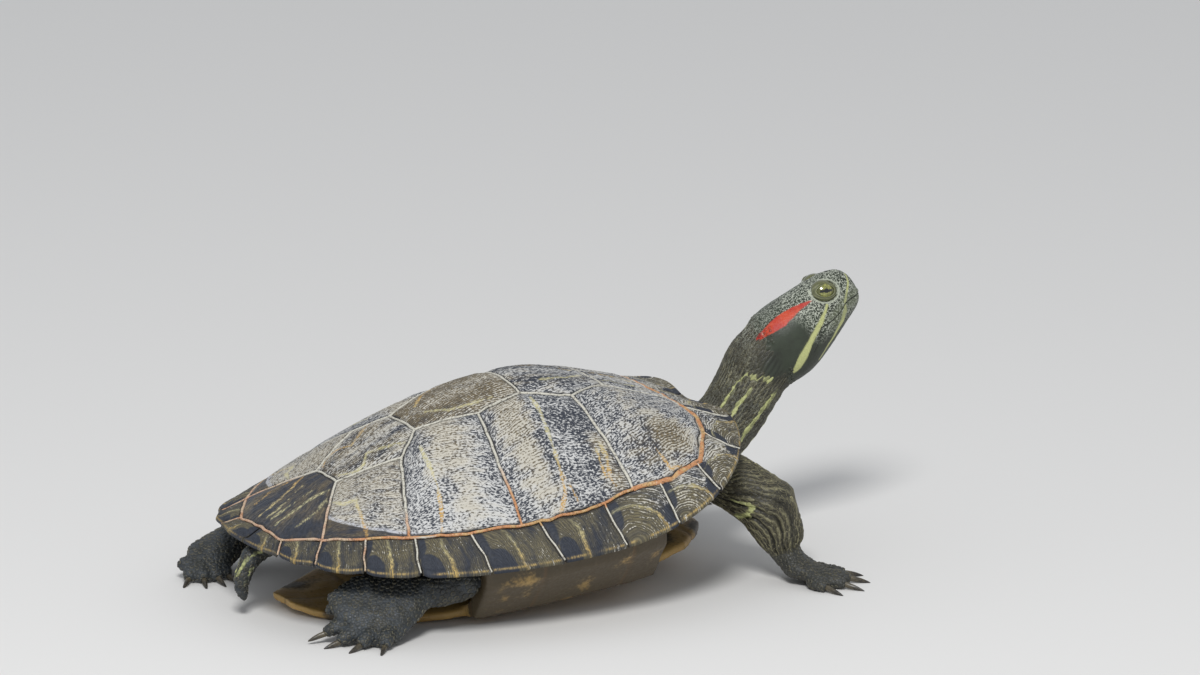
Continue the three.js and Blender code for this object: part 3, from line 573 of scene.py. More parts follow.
# Forward place of each seam on the ring and on the rim, from the tail to the nuchal.
MARGINAL_SEAMS = [(0.044, 0.0), (0.044, 0.012), (0.094, 0.048), (0.157, 0.116), (0.236, 0.208),
                  (0.338, 0.338), (0.474, 0.486), (0.615, 0.619), (0.738, 0.737), (0.833, 0.846),
                  (0.890, 0.937), (0.903, 0.986), (0.905, 1.0)]
RING_OUT = [0.0, 0.088, 0.163, 0.222, 0.266, 0.307, 0.3265, 0.3205, 0.3140, 0.300, 0.222, 0.122, 0.030]
SERRATED = [0.011, 0.045, 0.114, 0.208]     # places of the notches in the rear rim


def rim_turn(x):
    """The turn about the dome's middle at which the rim is so far forward."""
    ahead = x > WIDEST_AT
    run = (x - WIDEST_AT) / (1 - WIDEST_AT) if ahead else (WIDEST_AT - x) / WIDEST_AT
    turn = math.acos(min(run, 1) ** ((FRONT_POWER if ahead else REAR_POWER) / 2))
    return turn if ahead else math.pi - turn


def rim_plan(turn):
    """The rim of the shell on the plan, notched at its rear seams."""
    cos, sin = np.cos(turn), np.abs(np.sin(turn))
    run = np.abs(cos) ** (2 / np.where(cos > 0, FRONT_POWER, REAR_POWER))
    y = HALF_WIDTH * sin ** (2 / SIDE_POWER)
    x = WIDEST_AT + np.where(cos > 0, (1 - WIDEST_AT) * run, -WIDEST_AT * run)
    x = x - np.where(cos > 0, NUCHAL_DIP * hump(y, NUCHAL_REACH), 0)
    cut = np.max([hump(x - seam, NOTCH_HALF) for seam in SERRATED], axis=0) * NOTCH_DEPTH
    trim = np.where(cos < 0, 1 - cut, 1)
    return np.stack([WIDEST_AT + (x - WIDEST_AT) * trim, y * trim], -1)


def ring_share(x, y):
    """Where along the inner ring of the marginals a place lies, as a share of its length."""
    line = run_along(RING, np.linspace(0, 1, 1200))
    return np.argmin(np.hypot(line[:, 0] - x, line[:, 1] - y)) / 1199


def folded(number, side, inner_of, outer_of):
    """Where a rim scute lies: from its inner line out over the dome, round the rim and back under it."""
    front_one = number > 7
    bar_long, bar_deep, half_bar = (0.62, 0.78, 0.0007) if front_one else (0.40, 1.6, 0.0010)
    blotch_at, blotch_deep = (0.97, 0.36) if front_one else (0.20, 0.40)
    half = RIM_WALL / 2

    def place(u, v):
        u = u if side > 0 else 1 - u
        inner, outer = inner_of(u), outer_of(u)
        across = outer - inner
        reach = np.linalg.norm(across, axis=-1) * SHELL
        across /= np.linalg.norm(across, axis=-1, keepdims=True)
        width = np.linalg.norm(np.diff(outer[np.argsort(u)][[0, -1]], axis=0)) * SHELL
        sideways = np.minimum(u, 1 - u) * width
        over = np.clip(v / RIM_TOP, 0, 1)
        under = np.clip((v - RIM_TURN) / (1 - RIM_TURN), 0, 1)
        roll = np.clip((v - RIM_TOP) / (RIM_TURN - RIM_TOP), 0, 1) * math.pi
        edge = np.minimum(sideways, np.where(v < RIM_TOP, over * reach, 1))
        gap = RIM_GAP * (1 - soft_step(0, 0.003, sideways)) * np.sign(0.5 - u)
        inset = np.where(over < 1, 0.0009 * (1 - over) ** 4, 0)
        out = over * (reach - half) + inset + half * np.sin(roll) - under * 0.45 * reach
        tangent = np.stack([across[:, 1], -across[:, 0]], -1)
        plan = inner + across * (out / SHELL)[:, None] + tangent * (gap / SHELL)[:, None]
        laid = np.where((over < 0.98)[:, None], swayed(plan), plan)
        flat = on_plan(plan[:, 0], plan[:, 1] * side, v * 0.02)
        swell = RIM_SWELL * np.sin(math.pi * over) * soft_step(0, 0.004, sideways)
        ring = wave(edge / RIM_RING_STEP + 0.2 * lumps(flat, 0.015))
        drop = RIM_EDGE_DROP * (1 - soft_step(0, EDGE_WIDTH, edge))
        lift = swell - RIM_SUNK * (1 - soft_step(0.9, 1, over)) - drop + 0.00006 * ring
        lift = np.where(roll > 0, 0, lift) + 0.0002 * lumps(flat, 0.01)
        points, _ = on_dome(laid[:, 0], laid[:, 1], lift)
        points[:, 2] -= half * (1 - np.cos(roll)) + under * RIM_SLOPE

        # The yellow bar bends round the tan growth at the rim; a dark blotch lies beside a seam.
        wander = 0.07 * lumps(flat, 0.004) + 0.05 * lumps(flat + 2, 0.009)
        growth = np.hypot((u - 0.12) / bar_long, (over - 1.05) / bar_deep) + wander
        bar = np.abs(growth - 1) * width * 0.55 + 0.0005 * soft_step(-0.3, 0.6, lumps(flat + 1, 0.0025))
        lined = 1 - soft_step(0.6 * half_bar, 1.3 * half_bar, bar)
        lined = lined * (0.35 + 0.65 * soft_step(0.1, 0.6, over))
        lip = (1 - soft_step(0.02, 0.13, np.abs(roll / math.pi - 0.24))) * soft_step(0, 0.001, sideways)
        lip *= soft_step(-0.5, 0.1, lumps(flat + 3, 0.006))
        corner = np.hypot((u - blotch_at) / 0.20, (over - 0.92) / blotch_deep) + wander
        beside = np.hypot((u - 0.03) / 0.13, (over - 0.2) / 0.5) + wander
        blotch = 1 - soft_step(0.75, 1.05, corner) + 0.8 * (1 - soft_step(0.7, 1.1, beside))
        inner_tan = 1 - soft_step(0.9, 1.1, growth)
        film = soft_step(0.60, 0.78, plan[:, 0]) * (0.56 - 0.22 * inner_tan - 0.12 * over)
        notes = {"edge": edge * 1000, "grain": growth * width * 550, "along": over * reach * 1000,
                 "low": 0.35 + 0.5 * over, "mark": np.maximum(lined, 0.8 * lip), "wet": -1.0,
                 "tan": 0.50 + 0.25 * inner_tan - 1.2 * blotch, "chalk": film - 0.05 - 0.4 * blotch}
        points[:, 1] *= side
        return pitched(points), notes

    return place


def marginal(number, side):
    """Where a marginal lies, counted from the tail."""
    (ring_from, rim_from), (ring_to, rim_to) = MARGINAL_SEAMS[number - 1], MARGINAL_SEAMS[number]
    start, end = ring_share(ring_from, RING_OUT[number - 1]), ring_share(ring_to, RING_OUT[number])
    turn = math.pi if number == 1 else rim_turn(rim_from)
    last = nuchal_turn if number == 12 else rim_turn(rim_to)
    return folded(number, side, lambda u: run_along(RING, start + (end - start) * u),
                  lambda u: rim_plan(turn + (last - turn) * u))


nuchal_turn = math.asin((NUCHAL_HALF / HALF_WIDTH) ** (SIDE_POWER / 2))
DARK_SLATE, DULL_OLIVE, DULL_YELLOW = (0.030, 0.036, 0.050), (0.170, 0.146, 0.082), (0.58, 0.40, 0.13)
marginal_finish = scute_horn("marginal_horn", DARK_SLATE, DULL_OLIVE, DULL_YELLOW)
LENGTHS = {"rear": (1, 5), "bridge": (6, 8), "front": (9, 12)}
for side, word in ((1, "left"), (-1, "right")):
    for length, (first, last) in LENGTHS.items():
        for number in range(first, last + 1):
            piece = sheet(f"marginal_scute_{word}_{13 - number}", 34, 46, marginal(number, side))
            thicken(piece, RIM_SHEET)
            dress(piece, marginal_finish, "marginal_horn", f"marginals_{word}_{length}")

piece = sheet("nuchal_scute", 20, 46, folded(
    13, 1, lambda u: np.stack([0.905 + 0 * u, (1 - 2 * u) * NUCHAL_HALF], -1),
    lambda u: rim_plan(np.abs(1 - 2 * u) * nuchal_turn) * np.stack([1 + 0 * u, np.sign(1 - 2 * u)], -1)))
dress(thicken(piece, RIM_SHEET), marginal_finish, "marginal_horn", "nuchal")


# ==== Seams ====
# New horn shows between the scutes as a soft raised cord: bone white on top of the dome,
# and orange where the costals meet the marginals. Each cord lies sunk in its groove.
CORD_STEP, CORD_DEPTH = 0.0012, 0.00095
CROSS_CORD, LATERAL_CORD, COSTAL_CORD = 0.00062, 0.00062, 0.00066   # radii
RING_CORD_REAR, RING_CORD_FRONT, RIM_CORD = 0.00070, 0.00138, 0.00042


def seam_cord(line, side, radius):
    """A tube along a broken line of the plan, half sunk in the dome."""
    steps = max(int(length_of(np.array(line)) * SHELL / CORD_STEP), 3)
    laid = swayed(run_along(line, np.linspace(0, 1, steps)))
    flat = on_plan(laid[:, 0], laid[:, 1] * side)
    laid += np.stack([lumps(flat, 0.0045), lumps(flat + 0.4, 0.0045)], -1) * 0.00035 / SHELL
    depth = CORD_DEPTH + 0.8 * (radius - 0.00065)
    points, _ = on_dome(laid[:, 0], laid[:, 1], np.full(len(laid), -depth))
    points[:, 1] *= side
    curve = bpy.data.curves.new("seam", "CURVE")
    curve.dimensions = "3D"
    spline = curve.splines.new("POLY")
    spline.points.add(len(points) - 1)
    spline.points.foreach_set("co", np.c_[pitched(points), np.ones(len(points))].ravel())
    spline.points.foreach_set("radius", 1 + 0.30 * lumps(points + 3, 0.003))
    curve.bevel_depth, curve.bevel_resolution, curve.use_fill_caps = radius, 2, True
    piece = bpy.data.objects.new("seam", curve)
    bpy.context.collection.objects.link(piece)
    return piece


def joined(name, pieces):
    """Makes curves meshes and joins them all into one piece."""
    bpy.ops.object.select_all(action="DESELECT")
    for piece in pieces:
        piece.select_set(True)
    bpy.context.view_layer.objects.active = pieces[0]
    if any(piece.type == "CURVE" for piece in pieces):
        bpy.ops.object.convert(target="MESH")
    bpy.ops.object.join()
    piece = bpy.context.object
    piece.name = piece.data.name = name
    smooth(piece)
    return piece


def unpitched(points):
    """Points of the set-down shell back on the plan, in shell lengths."""
    cos, sin = math.cos(SHELL_PITCH), math.sin(SHELL_PITCH)
    away = points - np.array(SHELL_PLACE)
    x, z = away[..., 0], away[..., 2]
    return np.stack([x * cos + z * sin, away[..., 1], -x * sin + z * cos], -1) / SHELL


cords = []
for corner in ("vertebral 1-2", "vertebral 2-3", "vertebral 3-4", "vertebral 4-5"):
    x, y = CORNERS[corner]
    cords.append(seam_cord([(x, y), (x, -y)], 1, CROSS_CORD))
LATERAL = ["nuchal corner", "vertebral 1-2", "lateral 2", "vertebral 2-3", "lateral 3", "vertebral 3-4",
           "lateral 4", "vertebral 4-5", "costal 4-5"]
for side in (1, -1):
    cords.append(seam_cord([CORNERS[name] for name in LATERAL], side, LATERAL_CORD))
    for number in (2, 3, 4):
        ends = [CORNERS[f"lateral {number}"], CORNERS[f"costal {number - 1}-{number}"]]
        cords.append(seam_cord(ends, side, COSTAL_CORD))
    cords.append(seam_cord(run_along(RING[:9], np.linspace(0, 1, 60)), side, RING_CORD_REAR))
    cords.append(seam_cord(run_along(RING[8:], np.linspace(0, 1, 60)), side, RING_CORD_FRONT))
    for (ring_x, rim_x), ring_y in list(zip(MARGINAL_SEAMS, RING_OUT))[1:12]:
        start = run_along(RING, [ring_share(ring_x, ring_y)])[0]
        end = rim_plan(np.array([rim_turn(rim_x)]))[0]
        cords.append(seam_cord([start, start + (end - start) * 0.985], side, RIM_CORD))
seams = joined("seam_horn", cords)
place = unpitched(points_of(seams))
x, y = place[:, 0], np.abs(place[:, 1])
from_ring = np.min([np.hypot(x - at_x, y - at_y)
                    for at_x, at_y in run_along(RING, np.linspace(0, 1, 220))], axis=0)
tail_end = 1 - soft_step(0.12, 0.2, x)
on_ring = (1 - soft_step(0.003, 0.0065, from_ring)) * (1 - 0.5 * tail_end)
lower = soft_step(0.17, 0.30, y) * (1 - soft_step(0.60, 0.66, x)) * (dome_share(x, place[:, 1]) < 0.83)
set_note(seams, "orange", np.maximum(on_ring, 0.8 * np.maximum(lower, tail_end * 0.6)))

seam_finish = Finish("seam_horn")
fine, patchy = seam_finish.noise(0.0009, 3.0, 0.65), seam_finish.noise(0.006, 3.0)
warm = (seam_finish.note("orange") + (patchy - 0.5) * 0.7).between(0.1, 0.8)
colour = seam_finish.mix(warm, (0.58, 0.56, 0.48), (0.53, 0.245, 0.105))
colour = seam_finish.mix((1 - patchy).between(0.48, 0.62) * warm * 0.6, colour, (0.54, 0.40, 0.17))
colour = seam_finish.mix(fine.between(0.52, 0.66) * 0.75, colour, (0.07, 0.05, 0.035))
colour = seam_finish.mix((1 - fine).between(0.58, 0.72) * 0.5, colour, (0.62, 0.60, 0.55))
finish = seam_finish.surface(colour, fine.between(0.2, 0.8, 0.45, 0.7), fine, 0.0002)
dress(seams, finish, "marginal_horn")

# The bone that carries the horn closes the grooves from below.
BONE_DEPTH, BONE_THICK, BONE_EDGE = 0.0016, 0.0022, 0.0008
bone = primitive(bpy.ops.mesh.primitive_uv_sphere_add, "shell_bone", segments=64, ring_count=32, radius=1)
ball = points_of(bone)
share = np.clip(np.hypot(ball[:, 0], ball[:, 1]), 0, 1)
turn = np.arctan2(ball[:, 1], ball[:, 0])
rim = rim_plan(turn) * np.stack([np.ones_like(turn), np.where(turn < 0, -1, 1)], -1)
middle = np.array([WIDEST_AT, 0])
plan = middle + (rim - middle) * (share * 0.965)[:, None]
points, _ = on_dome(plan[:, 0], plan[:, 1], np.full(len(plan), -BONE_DEPTH))
points[:, 2] -= np.where(ball[:, 2] < 0, BONE_THICK * (1 - share ** 8) + BONE_EDGE, 0)
set_points(bone, pitched(points))
smooth(bone)
bone_finish = Finish("shell_bone")
pores = bone_finish.noise(0.004, 3.0)
colour = bone_finish.mix(pores, (0.030, 0.026, 0.020), (0.075, 0.060, 0.040))
dress(bone, bone_finish.surface(colour, 0.7, pores, 0.0004), "marginal_horn")


# ==== Plastron and bridges ====
# The belly plate is twelve flat scutes of yellow horn with a smoky blotch on each, and on each side
# a bridge climbs from it to the marginals. It is remeshed from its solid, with the seams pressed in.
def solid_copy(name, nodes, grow=0.0):
    """Copies of CAD solids, merged and joined, each grown outwards by so much."""
    copies = []
    for node in nodes:
        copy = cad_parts[node].copy()
        copy.data = copy.data.copy()
        copy.parent = None
        copy.hide_set(False)
        bpy.context.collection.objects.link(copy)
        pick_only(copy)
        bpy.ops.object.mode_set(mode="EDIT")
        bpy.ops.mesh.select_all(action="SELECT")
        bpy.ops.mesh.remove_doubles(threshold=1e-5)
        bpy.ops.object.mode_set(mode="OBJECT")
        set_points(copy, points_of(copy) + points_of(copy, "normal") * grow)
        copies.append(copy)
    piece = joined(name, copies)
    piece.data.materials.clear()
    return piece


def remeshed(piece, voxel, rounds):
    """One closed even mesh round a piece, relaxed so that no facet of the solids is left."""
    piece.data.remesh_voxel_size = voxel
    bpy.ops.object.voxel_remesh()
    shaped(piece, "SMOOTH", factor=0.5, iterations=rounds)
    smooth(piece)


PLASTRON_SEAMS = (0.885, 0.755, 0.640, 0.445, 0.235)
PLASTRON_MIDDLES = (0.93, 0.82, 0.70, 0.54, 0.34, 0.15)
BRIDGE_MIDDLE, BRIDGE_SEAM, BRIDGE_PULL = 0.54, 0.262, 0.0065
plastron = solid_copy("plastron_horn", ["plastron"])
remeshed(plastron, 0.0013, 9)
points, normals = points_of(plastron), points_of(plastron, "normal")
place = unpitched(points)
x, y = place[:, 0], np.abs(place[:, 1])
flat = on_plan(x, place[:, 1])
sway = lumps(flat, 0.02) * 0.005
crossing = np.min([np.abs(x + sway - seam - 0.04 * y) for seam in PLASTRON_SEAMS], axis=0)
groove = np.minimum(crossing, np.abs(place[:, 1] + 0.4 * sway)) * SHELL
off_bridge = 10 * (x < 0.34) + 10 * (x > 0.74)
groove = np.minimum(groove, np.abs(y - BRIDGE_SEAM) * SHELL + off_bridge)
lift = -0.00045 * hump(groove, 0.0007) + 0.00006 * wave(groove / 0.0035)
lift += lumps(points, 0.015) * 0.0002 - 0.0001
off_floor = soft_step(0.0006, 0.002, points[:, 2])
bridge = soft_step(0.225, 0.265, y) * off_floor
end_round = 1 - np.sqrt(np.clip(1 - (np.abs(x - BRIDGE_MIDDLE) / 0.235) ** 4, 0, 1))
moved = points + normals * (lift * off_floor)[:, None]
moved[:, 1] -= np.sign(points[:, 1]) * BRIDGE_PULL * bridge * end_round
set_points(plastron, moved)
halfway = np.min([np.abs(x - middle) for middle in PLASTRON_MIDDLES], axis=0)
blotch = hump(halfway, 0.045) * hump(y - 0.11, 0.055)
# The bridge is painted dark all over: partly its own dark markings, partly painted shade under the rim of the
# shell.
bridge_smoke_and_shade = bridge * (0.80 + 0.55 * lumps(points, 0.008))
set_note(plastron, "blotch", np.maximum(blotch + 0.35 * lumps(flat, 0.012), bridge_smoke_and_shade))
set_note(plastron, "seam", hump(groove, 0.0006))
belly = Finish("plastron_horn")
broad, fine = belly.noise(0.02, 3.0), belly.noise(0.0015, 3.0)
colour = belly.mix(broad, (0.50, 0.34, 0.11), (0.38, 0.22, 0.07))
# The smoky blotches, and the painted shade over the bridge, darken the yellow horn.
smoke_and_shade = (belly.note("blotch") + (fine - 0.5) * 0.5).between(0.25, 0.7)
colour = belly.mix(smoke_and_shade * 0.9, colour, (0.034, 0.030, 0.022))
colour = belly.mix(belly.note("seam") * 0.7, colour, (0.12, 0.07, 0.03))
colour = belly.mix(fine.between(0.55, 0.75) * 0.35, colour, (0.06, 0.05, 0.03))
finish = belly.surface(colour, fine.between(0.2, 0.8, 0.4, 0.6), fine, 0.00015)
dress(plastron, finish, "plastron_horn", "plastron")


# ==== Skin ====
# One soft skin covers head, neck, legs and tail without a seam. It is loose and folded at the
# joints, smooth on the crown, and striped with yellow, with a red patch behind each eye. It is
# drawn round the solids as one mesh, and its folds and lids are moved into place point by point.
FLESH = ["trunk", "neck", "head", "lower_jaw", "tail"]
for part in ("upper_arm", "forearm", "forefoot", "thigh", "shank", "hindfoot"):
    FLESH += [f"{part}_left", f"{part}_right"]
WRAPPED = FLESH + ["eye_left", "eye_right"]     # the solids that the skin is drawn round
SKIN_CELL = 0.0009
SKIN_GROW = 0.00045                 # closes the gaps between the solids before they are drawn round
COAT = 0.00035                      # depth of the scales over the skin
LID_FINE, LID_KEPT = 0.0085, 0.0080     # how far round an eye the skin is cut finest, and stays so
DEEP_KEPT = 0.08                    # share of its faces kept where the trunk is inside the shell
WRINKLED_FROM = 0.052               # the neck and forelegs ahead of this are finely wrinkled
WRINKLE_STEP = 1.9                  # mm between the fine wrinkles of the neck and forelegs
THINNED_TO = 0.385                  # share of the skin's faces that is kept where it is smooth
ELBOW_OUT, ELBOW_UP, ELBOW_TURN = 96.0, 26.4, 7.0   # mm; a foreleg's wrinkles turn down about this point
LEG_AHEAD, LEG_ASIDE = 0.8834, 0.4687               # the way a foreleg points, on the floor
SNOUT = np.array([0.15173, -0.0116, 0.1098])
HEAD_YAW, HEAD_RISE = math.radians(-12), math.radians(29.8)
LEVEL = math.cos(HEAD_RISE)
FORWARD = np.array([math.cos(HEAD_YAW) * LEVEL, math.sin(HEAD_YAW) * LEVEL, math.sin(HEAD_RISE)])
LEFTWARD = np.array([-math.sin(HEAD_YAW), math.cos(HEAD_YAW), 0.0])
HEAD_UP = np.cross(FORWARD, LEFTWARD)
EYE_BACK, EYE_OUT, EYE_UP = 12.9, 5.7, 13.8     # eye centre, mm behind, beside and above the snout
LID_LONG, LID_TALL = 5.9, 4.6                   # half sizes of the ring of the lids, mm
SLIT_LONG, SLIT_TALL = 4.4, 2.6                 # half sizes of the opening, mm


def in_head(points):
    """Millimetres behind, left of and above the snout tip, on the head's own axes."""
    away = (points - SNOUT) * 1000
    return np.stack([-away @ FORWARD, away @ LEFTWARD, away @ HEAD_UP], -1)


def from_head(back, left, up):
    return SNOUT + (-back * FORWARD + left * LEFTWARD + up * HEAD_UP) / 1000


def eye_axes(side):
    """Centre of an eye, then its long, upright and outward axes. The slit stays level."""
    centre = from_head(EYE_BACK, EYE_OUT * side, EYE_UP)
    out = 0.25 * FORWARD + side * LEFTWARD + 0.20 * HEAD_UP
    out /= np.linalg.norm(out)
    along = np.cross((0, 0, 1), out) * -side
    along = along / np.linalg.norm(along)
    return centre, along, np.cross(along, out) * side, out


def from_eye(points):
    """Distance to the middle of the nearer eye."""
    return np.min([np.linalg.norm(points - eye_axes(side)[0], axis=-1) for side in (1, -1)], axis=0)


def rework(piece, mask, work, **values):
    """Runs one edit-mode operator on just these points."""
    pick_only(piece)
    bpy.ops.object.mode_set(mode="EDIT")
    bpy.ops.mesh.select_mode(type="VERT")
    bpy.ops.mesh.select_all(action="DESELECT")
    bpy.ops.object.mode_set(mode="OBJECT")
    piece.data.vertices.foreach_set("select", np.asarray(mask, bool))
    bpy.ops.object.mode_set(mode="EDIT")
    work(**values)
    bpy.ops.object.mode_set(mode="OBJECT")


def blurred(piece, values, rounds, share=1.0):
    """Values on the points of a mesh, averaged with their neighbours for some rounds."""
    ends = np.empty(len(piece.data.edges) * 2, int)
    piece.data.edges.foreach_get("vertices", ends)
    first, second = ends.reshape(-1, 2).T
    count = np.bincount(first, minlength=len(values)) + np.bincount(second, minlength=len(values))
    columns = values.reshape(len(values), -1).astype(float)
    keep = np.broadcast_to(share, len(values))[:, None]
    for _ in range(rounds):
        total = np.stack([np.bincount(first, column[second], len(values))
                          + np.bincount(second, column[first], len(values)) for column in columns.T], -1)
        columns = columns + (total / count[:, None] - columns) * 0.6 * keep
    return columns.reshape(values.shape)


def nearest_node(points, nodes):
    """For each point, the number of the solid whose surface is nearest."""
    corners, faces, owners = [], [], []
    for number, node in enumerate(nodes):
        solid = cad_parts[node]
        start = len(corners)
        corners.extend(map(tuple, points_of(solid)))
        faces.extend([start + corner for corner in face.vertices] for face in solid.data.polygons)
        owners.extend([number] * len(solid.data.polygons))
    tree = BVHTree.FromPolygons(corners, faces)
    return np.array([owners[tree.find_nearest(point)[2]] for point in points.tolist()])


skin = solid_copy("skin", WRAPPED, SKIN_GROW)
remeshed(skin, SKIN_CELL, 2)
owner = nearest_node(points_of(skin), WRAPPED)
node_names = np.array(FLESH + ["head", "head"])


def part_share(*parts, rounds=8):
    """How much of the skin at each point belongs to these parts, softly."""
    hit = np.array([any(name.startswith(part) for part in parts) for name in node_names])[owner]
    return blurred(skin, hit.astype(float), rounds)


# The facets of the solids are rubbed away, least on the toes.
feet = part_share("forefoot", "hindfoot", "tail", rounds=3)
on_face = part_share("head", "lower_jaw", rounds=3)
points = blurred(skin, points_of(skin), 26, 1 - 0.8 * feet - 0.35 * on_face)
set_points(skin, points)
points = points + points_of(skin, "normal") * (0.00008 * (1 - feet) + 0.00032 * feet - COAT)[:, None]
set_points(skin, points)

# The head, the neck and the forelegs are cut finer, and the lids finer still.
away = in_head(points)
wrinkled = (part_share("neck", "upper_arm", "forearm", rounds=3) > 0.4) & (points[:, 0] > WRINKLED_FROM)
finer = (away[:, 0] < 50) & (away[:, 0] > -5) & (on_face > 0.4) | wrinkled
rework(skin, finer, bpy.ops.mesh.subdivide, number_cuts=1)
points = blurred(skin, points_of(skin), 2)
set_points(skin, points)
rework(skin, from_eye(points) < LID_FINE, bpy.ops.mesh.subdivide, number_cuts=1)
inside = nearest_node(points_of(skin), FLESH) == 0
deep = blurred(skin, inside.astype(float), 14) > 0.97
rework(skin, deep, bpy.ops.mesh.decimate, ratio=DEEP_KEPT)
owner = nearest_node(points_of(skin), WRAPPED)


def line_share(places, line, widths):
    """1 on a painted line of changing width, 0 off it. Places, line and widths share one unit."""
    line, widths = np.array(line, float), np.array(widths, float)
    best = np.full(len(places), 99.0)
    for k in range(len(line) - 1):
        run = line[k + 1] - line[k]
        at = np.clip((places - line[k]) @ run / (run @ run), 0, 1)
        gap = np.linalg.norm(places - line[k] - at[:, None] * run, axis=-1)
        best = np.minimum(best, gap - (widths[k] + (widths[k + 1] - widths[k]) * at) / 2)
    return 1 - soft_step(-0.22, 0.22, best)


NECK_MIDDLE = [(70, 0), (95, -0.6), (104, -1.8), (112, -3.1), (122, -5)]
NECK_AXIS = [(79.3, -29.3), (97.3, -35.4), (113.3, -35.2), (125, -33.5), (136.9, -32.2),
             (148.9, -35.8)]
NECK_RADIUS = 15.5
# Lines on the head are in mm behind, beside and above the snout, each with its widths.
RED_PATCH = [(19.5, 10.6, 14.6), (24, 10.9, 15.4), (30, 11.2, 15.6), (36, 11.7, 15.2),
             (42.5, 11.4, 14.4), (48.5, 9.0, 12.6)]
HEAD_STRIPES = [
    ([(14.9, 11.7, 9.4), (22.7, 14.6, 4.5), (30.9, 16.1, 0), (36.5, 16.3, -3.4), (40.5, 15.6, -6.2),
      (45, 14.2, -9.2)], [1.6, 2.3, 2.8, 4.3, 3.6, 0.6]),
    ([(9.2, 9.2, 1.3), (12.3, 9.6, -1.7), (17, 10.8, -3.8), (22.3, 11.3, -6.6), (30, 11.5, -10.5)],
     [2.2, 2.6, 1.8, 1.2, 1.0]),
    ([(-0.7, 1.6, 13.3), (0.7, 4.7, 10.5), (3.2, 6.6, 8.0), (7.0, 8.7, 4.9), (8.8, 8.8, 0.9)],
     [0.7, 1.0, 1.0, 1.2, 2.0]),
    ([(5, 0, -5.5), (14, 0, -8.5), (24, 0, -12.5), (40, 0, -17)], [0.8, 2.2, 2.6, 2.0]),
    ([(14, 5, -8), (24, 6.5, -12), (36, 7.5, -16)], [0.7, 1.4, 1.2]),
]
# Lines on the neck, the foreleg and the tail are in mm on the floor's axes.
NECK_STRIPES = [
    ([(107.6, 14.4, 73.1), (106, 14.4, 71.3), (102.2, 14.5, 66.8), (97.4, 14.8, 60.9), (93, 14.9, 55.9),
      (84, 15, 47)], [0.8, 2.3, 2.3, 2.2, 2.0, 1.6]),
    ([(96, 14.6, 76), (91.6, 14.8, 71.2), (86.8, 14.6, 65), (78, 14.6, 56)], [0.6, 1.5, 1.6, 1.2]),
    ([(104, 14.6, 78.5), (100.2, 15.8, 80.6), (98, 15.6, 80.2), (95.4, 13.2, 82.3), (89.9, 10.6, 78.1),
      (85.5, 10.6, 72), (78, 10.5, 64)], [1.0, 1.0, 0.8, 0.9, 0.9, 1.0, 0.8]),
    ([(112, 7, 68), (104, 7.5, 58), (96, 8, 48), (84, 8, 38)], [1.0, 1.6, 1.6, 1.2]),
]
FOREARM_MARK = [(83.2, 38.0), (88.5, 37.4), (92.0, 36.0), (89.9, 31.9), (85.9, 30.5)]   # out, and height
TAIL_STRIPES = [[(-140, 4.6, 31), (-148.3, 2.8, 27.6), (-152.7, 0.6, 18.9)],
                [(-140, 5, 26), (-147.8, 3.2, 21.1), (-149.6, 3.0, 16.7)]]
ARM_GROOVES = [15.2, 10.8, 6.8]     # deep wrinkles of a foreleg, mm out from the elbow


def cheek(head):
    """The smooth bare skin over the ear and the corner of the jaw, by place on the head in mm."""
    drum = hump(head[:, 0] - 38, 10) * hump(head[:, 2] - 4, 7)
    corner = hump(head[:, 0] - 48.5, 7) * hump(head[:, 2] + 0.5, 6)
    return np.maximum(drum, corner) * (head[:, 0] < 62)


def round_neck(ahead, aside, height):
    """Length along the neck and distance round it from its nape, from a place in mm beside its middle."""
    along, behind = 0.62 * ahead + 0.78 * height, 0.62 * height - 0.78 * ahead
    turn = np.arctan2(aside, behind - np.interp(along, *zip(*NECK_AXIS)))
    return np.stack([along, turn * NECK_RADIUS], -1)


def beside_leg(floor):
    """How far out along a foreleg a place lies, and how far beside it, in mm."""
    aside = np.abs(floor[:, 1])
    return LEG_AHEAD * floor[:, 0] + LEG_ASIDE * aside, LEG_AHEAD * aside - LEG_ASIDE * floor[:, 0]


def combed(points):
    """Across the wrinkles of a foreleg in mm, and the way they run: out from the shell, then down."""
    floor = points * 1000
    (reach, aside), height = beside_leg(floor), floor[:, 2]
    still = 0 * height
    out = np.stack([LEG_AHEAD + still, LEG_ASIDE * np.sign(points[:, 1]), still], -1)
    round_arm = 44 + 13 * np.arctan2(height - 44, aside - 4)
    round_shin = 105 + 10 * np.arctan2(reach - 105, aside - 12)
    height = height + (1 - soft_step(80, 94, reach)) * (round_arm - height)
    reach = reach + (1 - soft_step(20, 32, floor[:, 2])) * (round_shin - reach)
    ahead = np.exp((reach - ELBOW_OUT) / ELBOW_TURN)
    above = np.exp((height - ELBOW_UP) / ELBOW_TURN)
    share = (ahead / (ahead + above))[:, None]
    return ELBOW_TURN * np.log(ahead + above), (1 - share) * out - share * np.array([0, 0, 1])


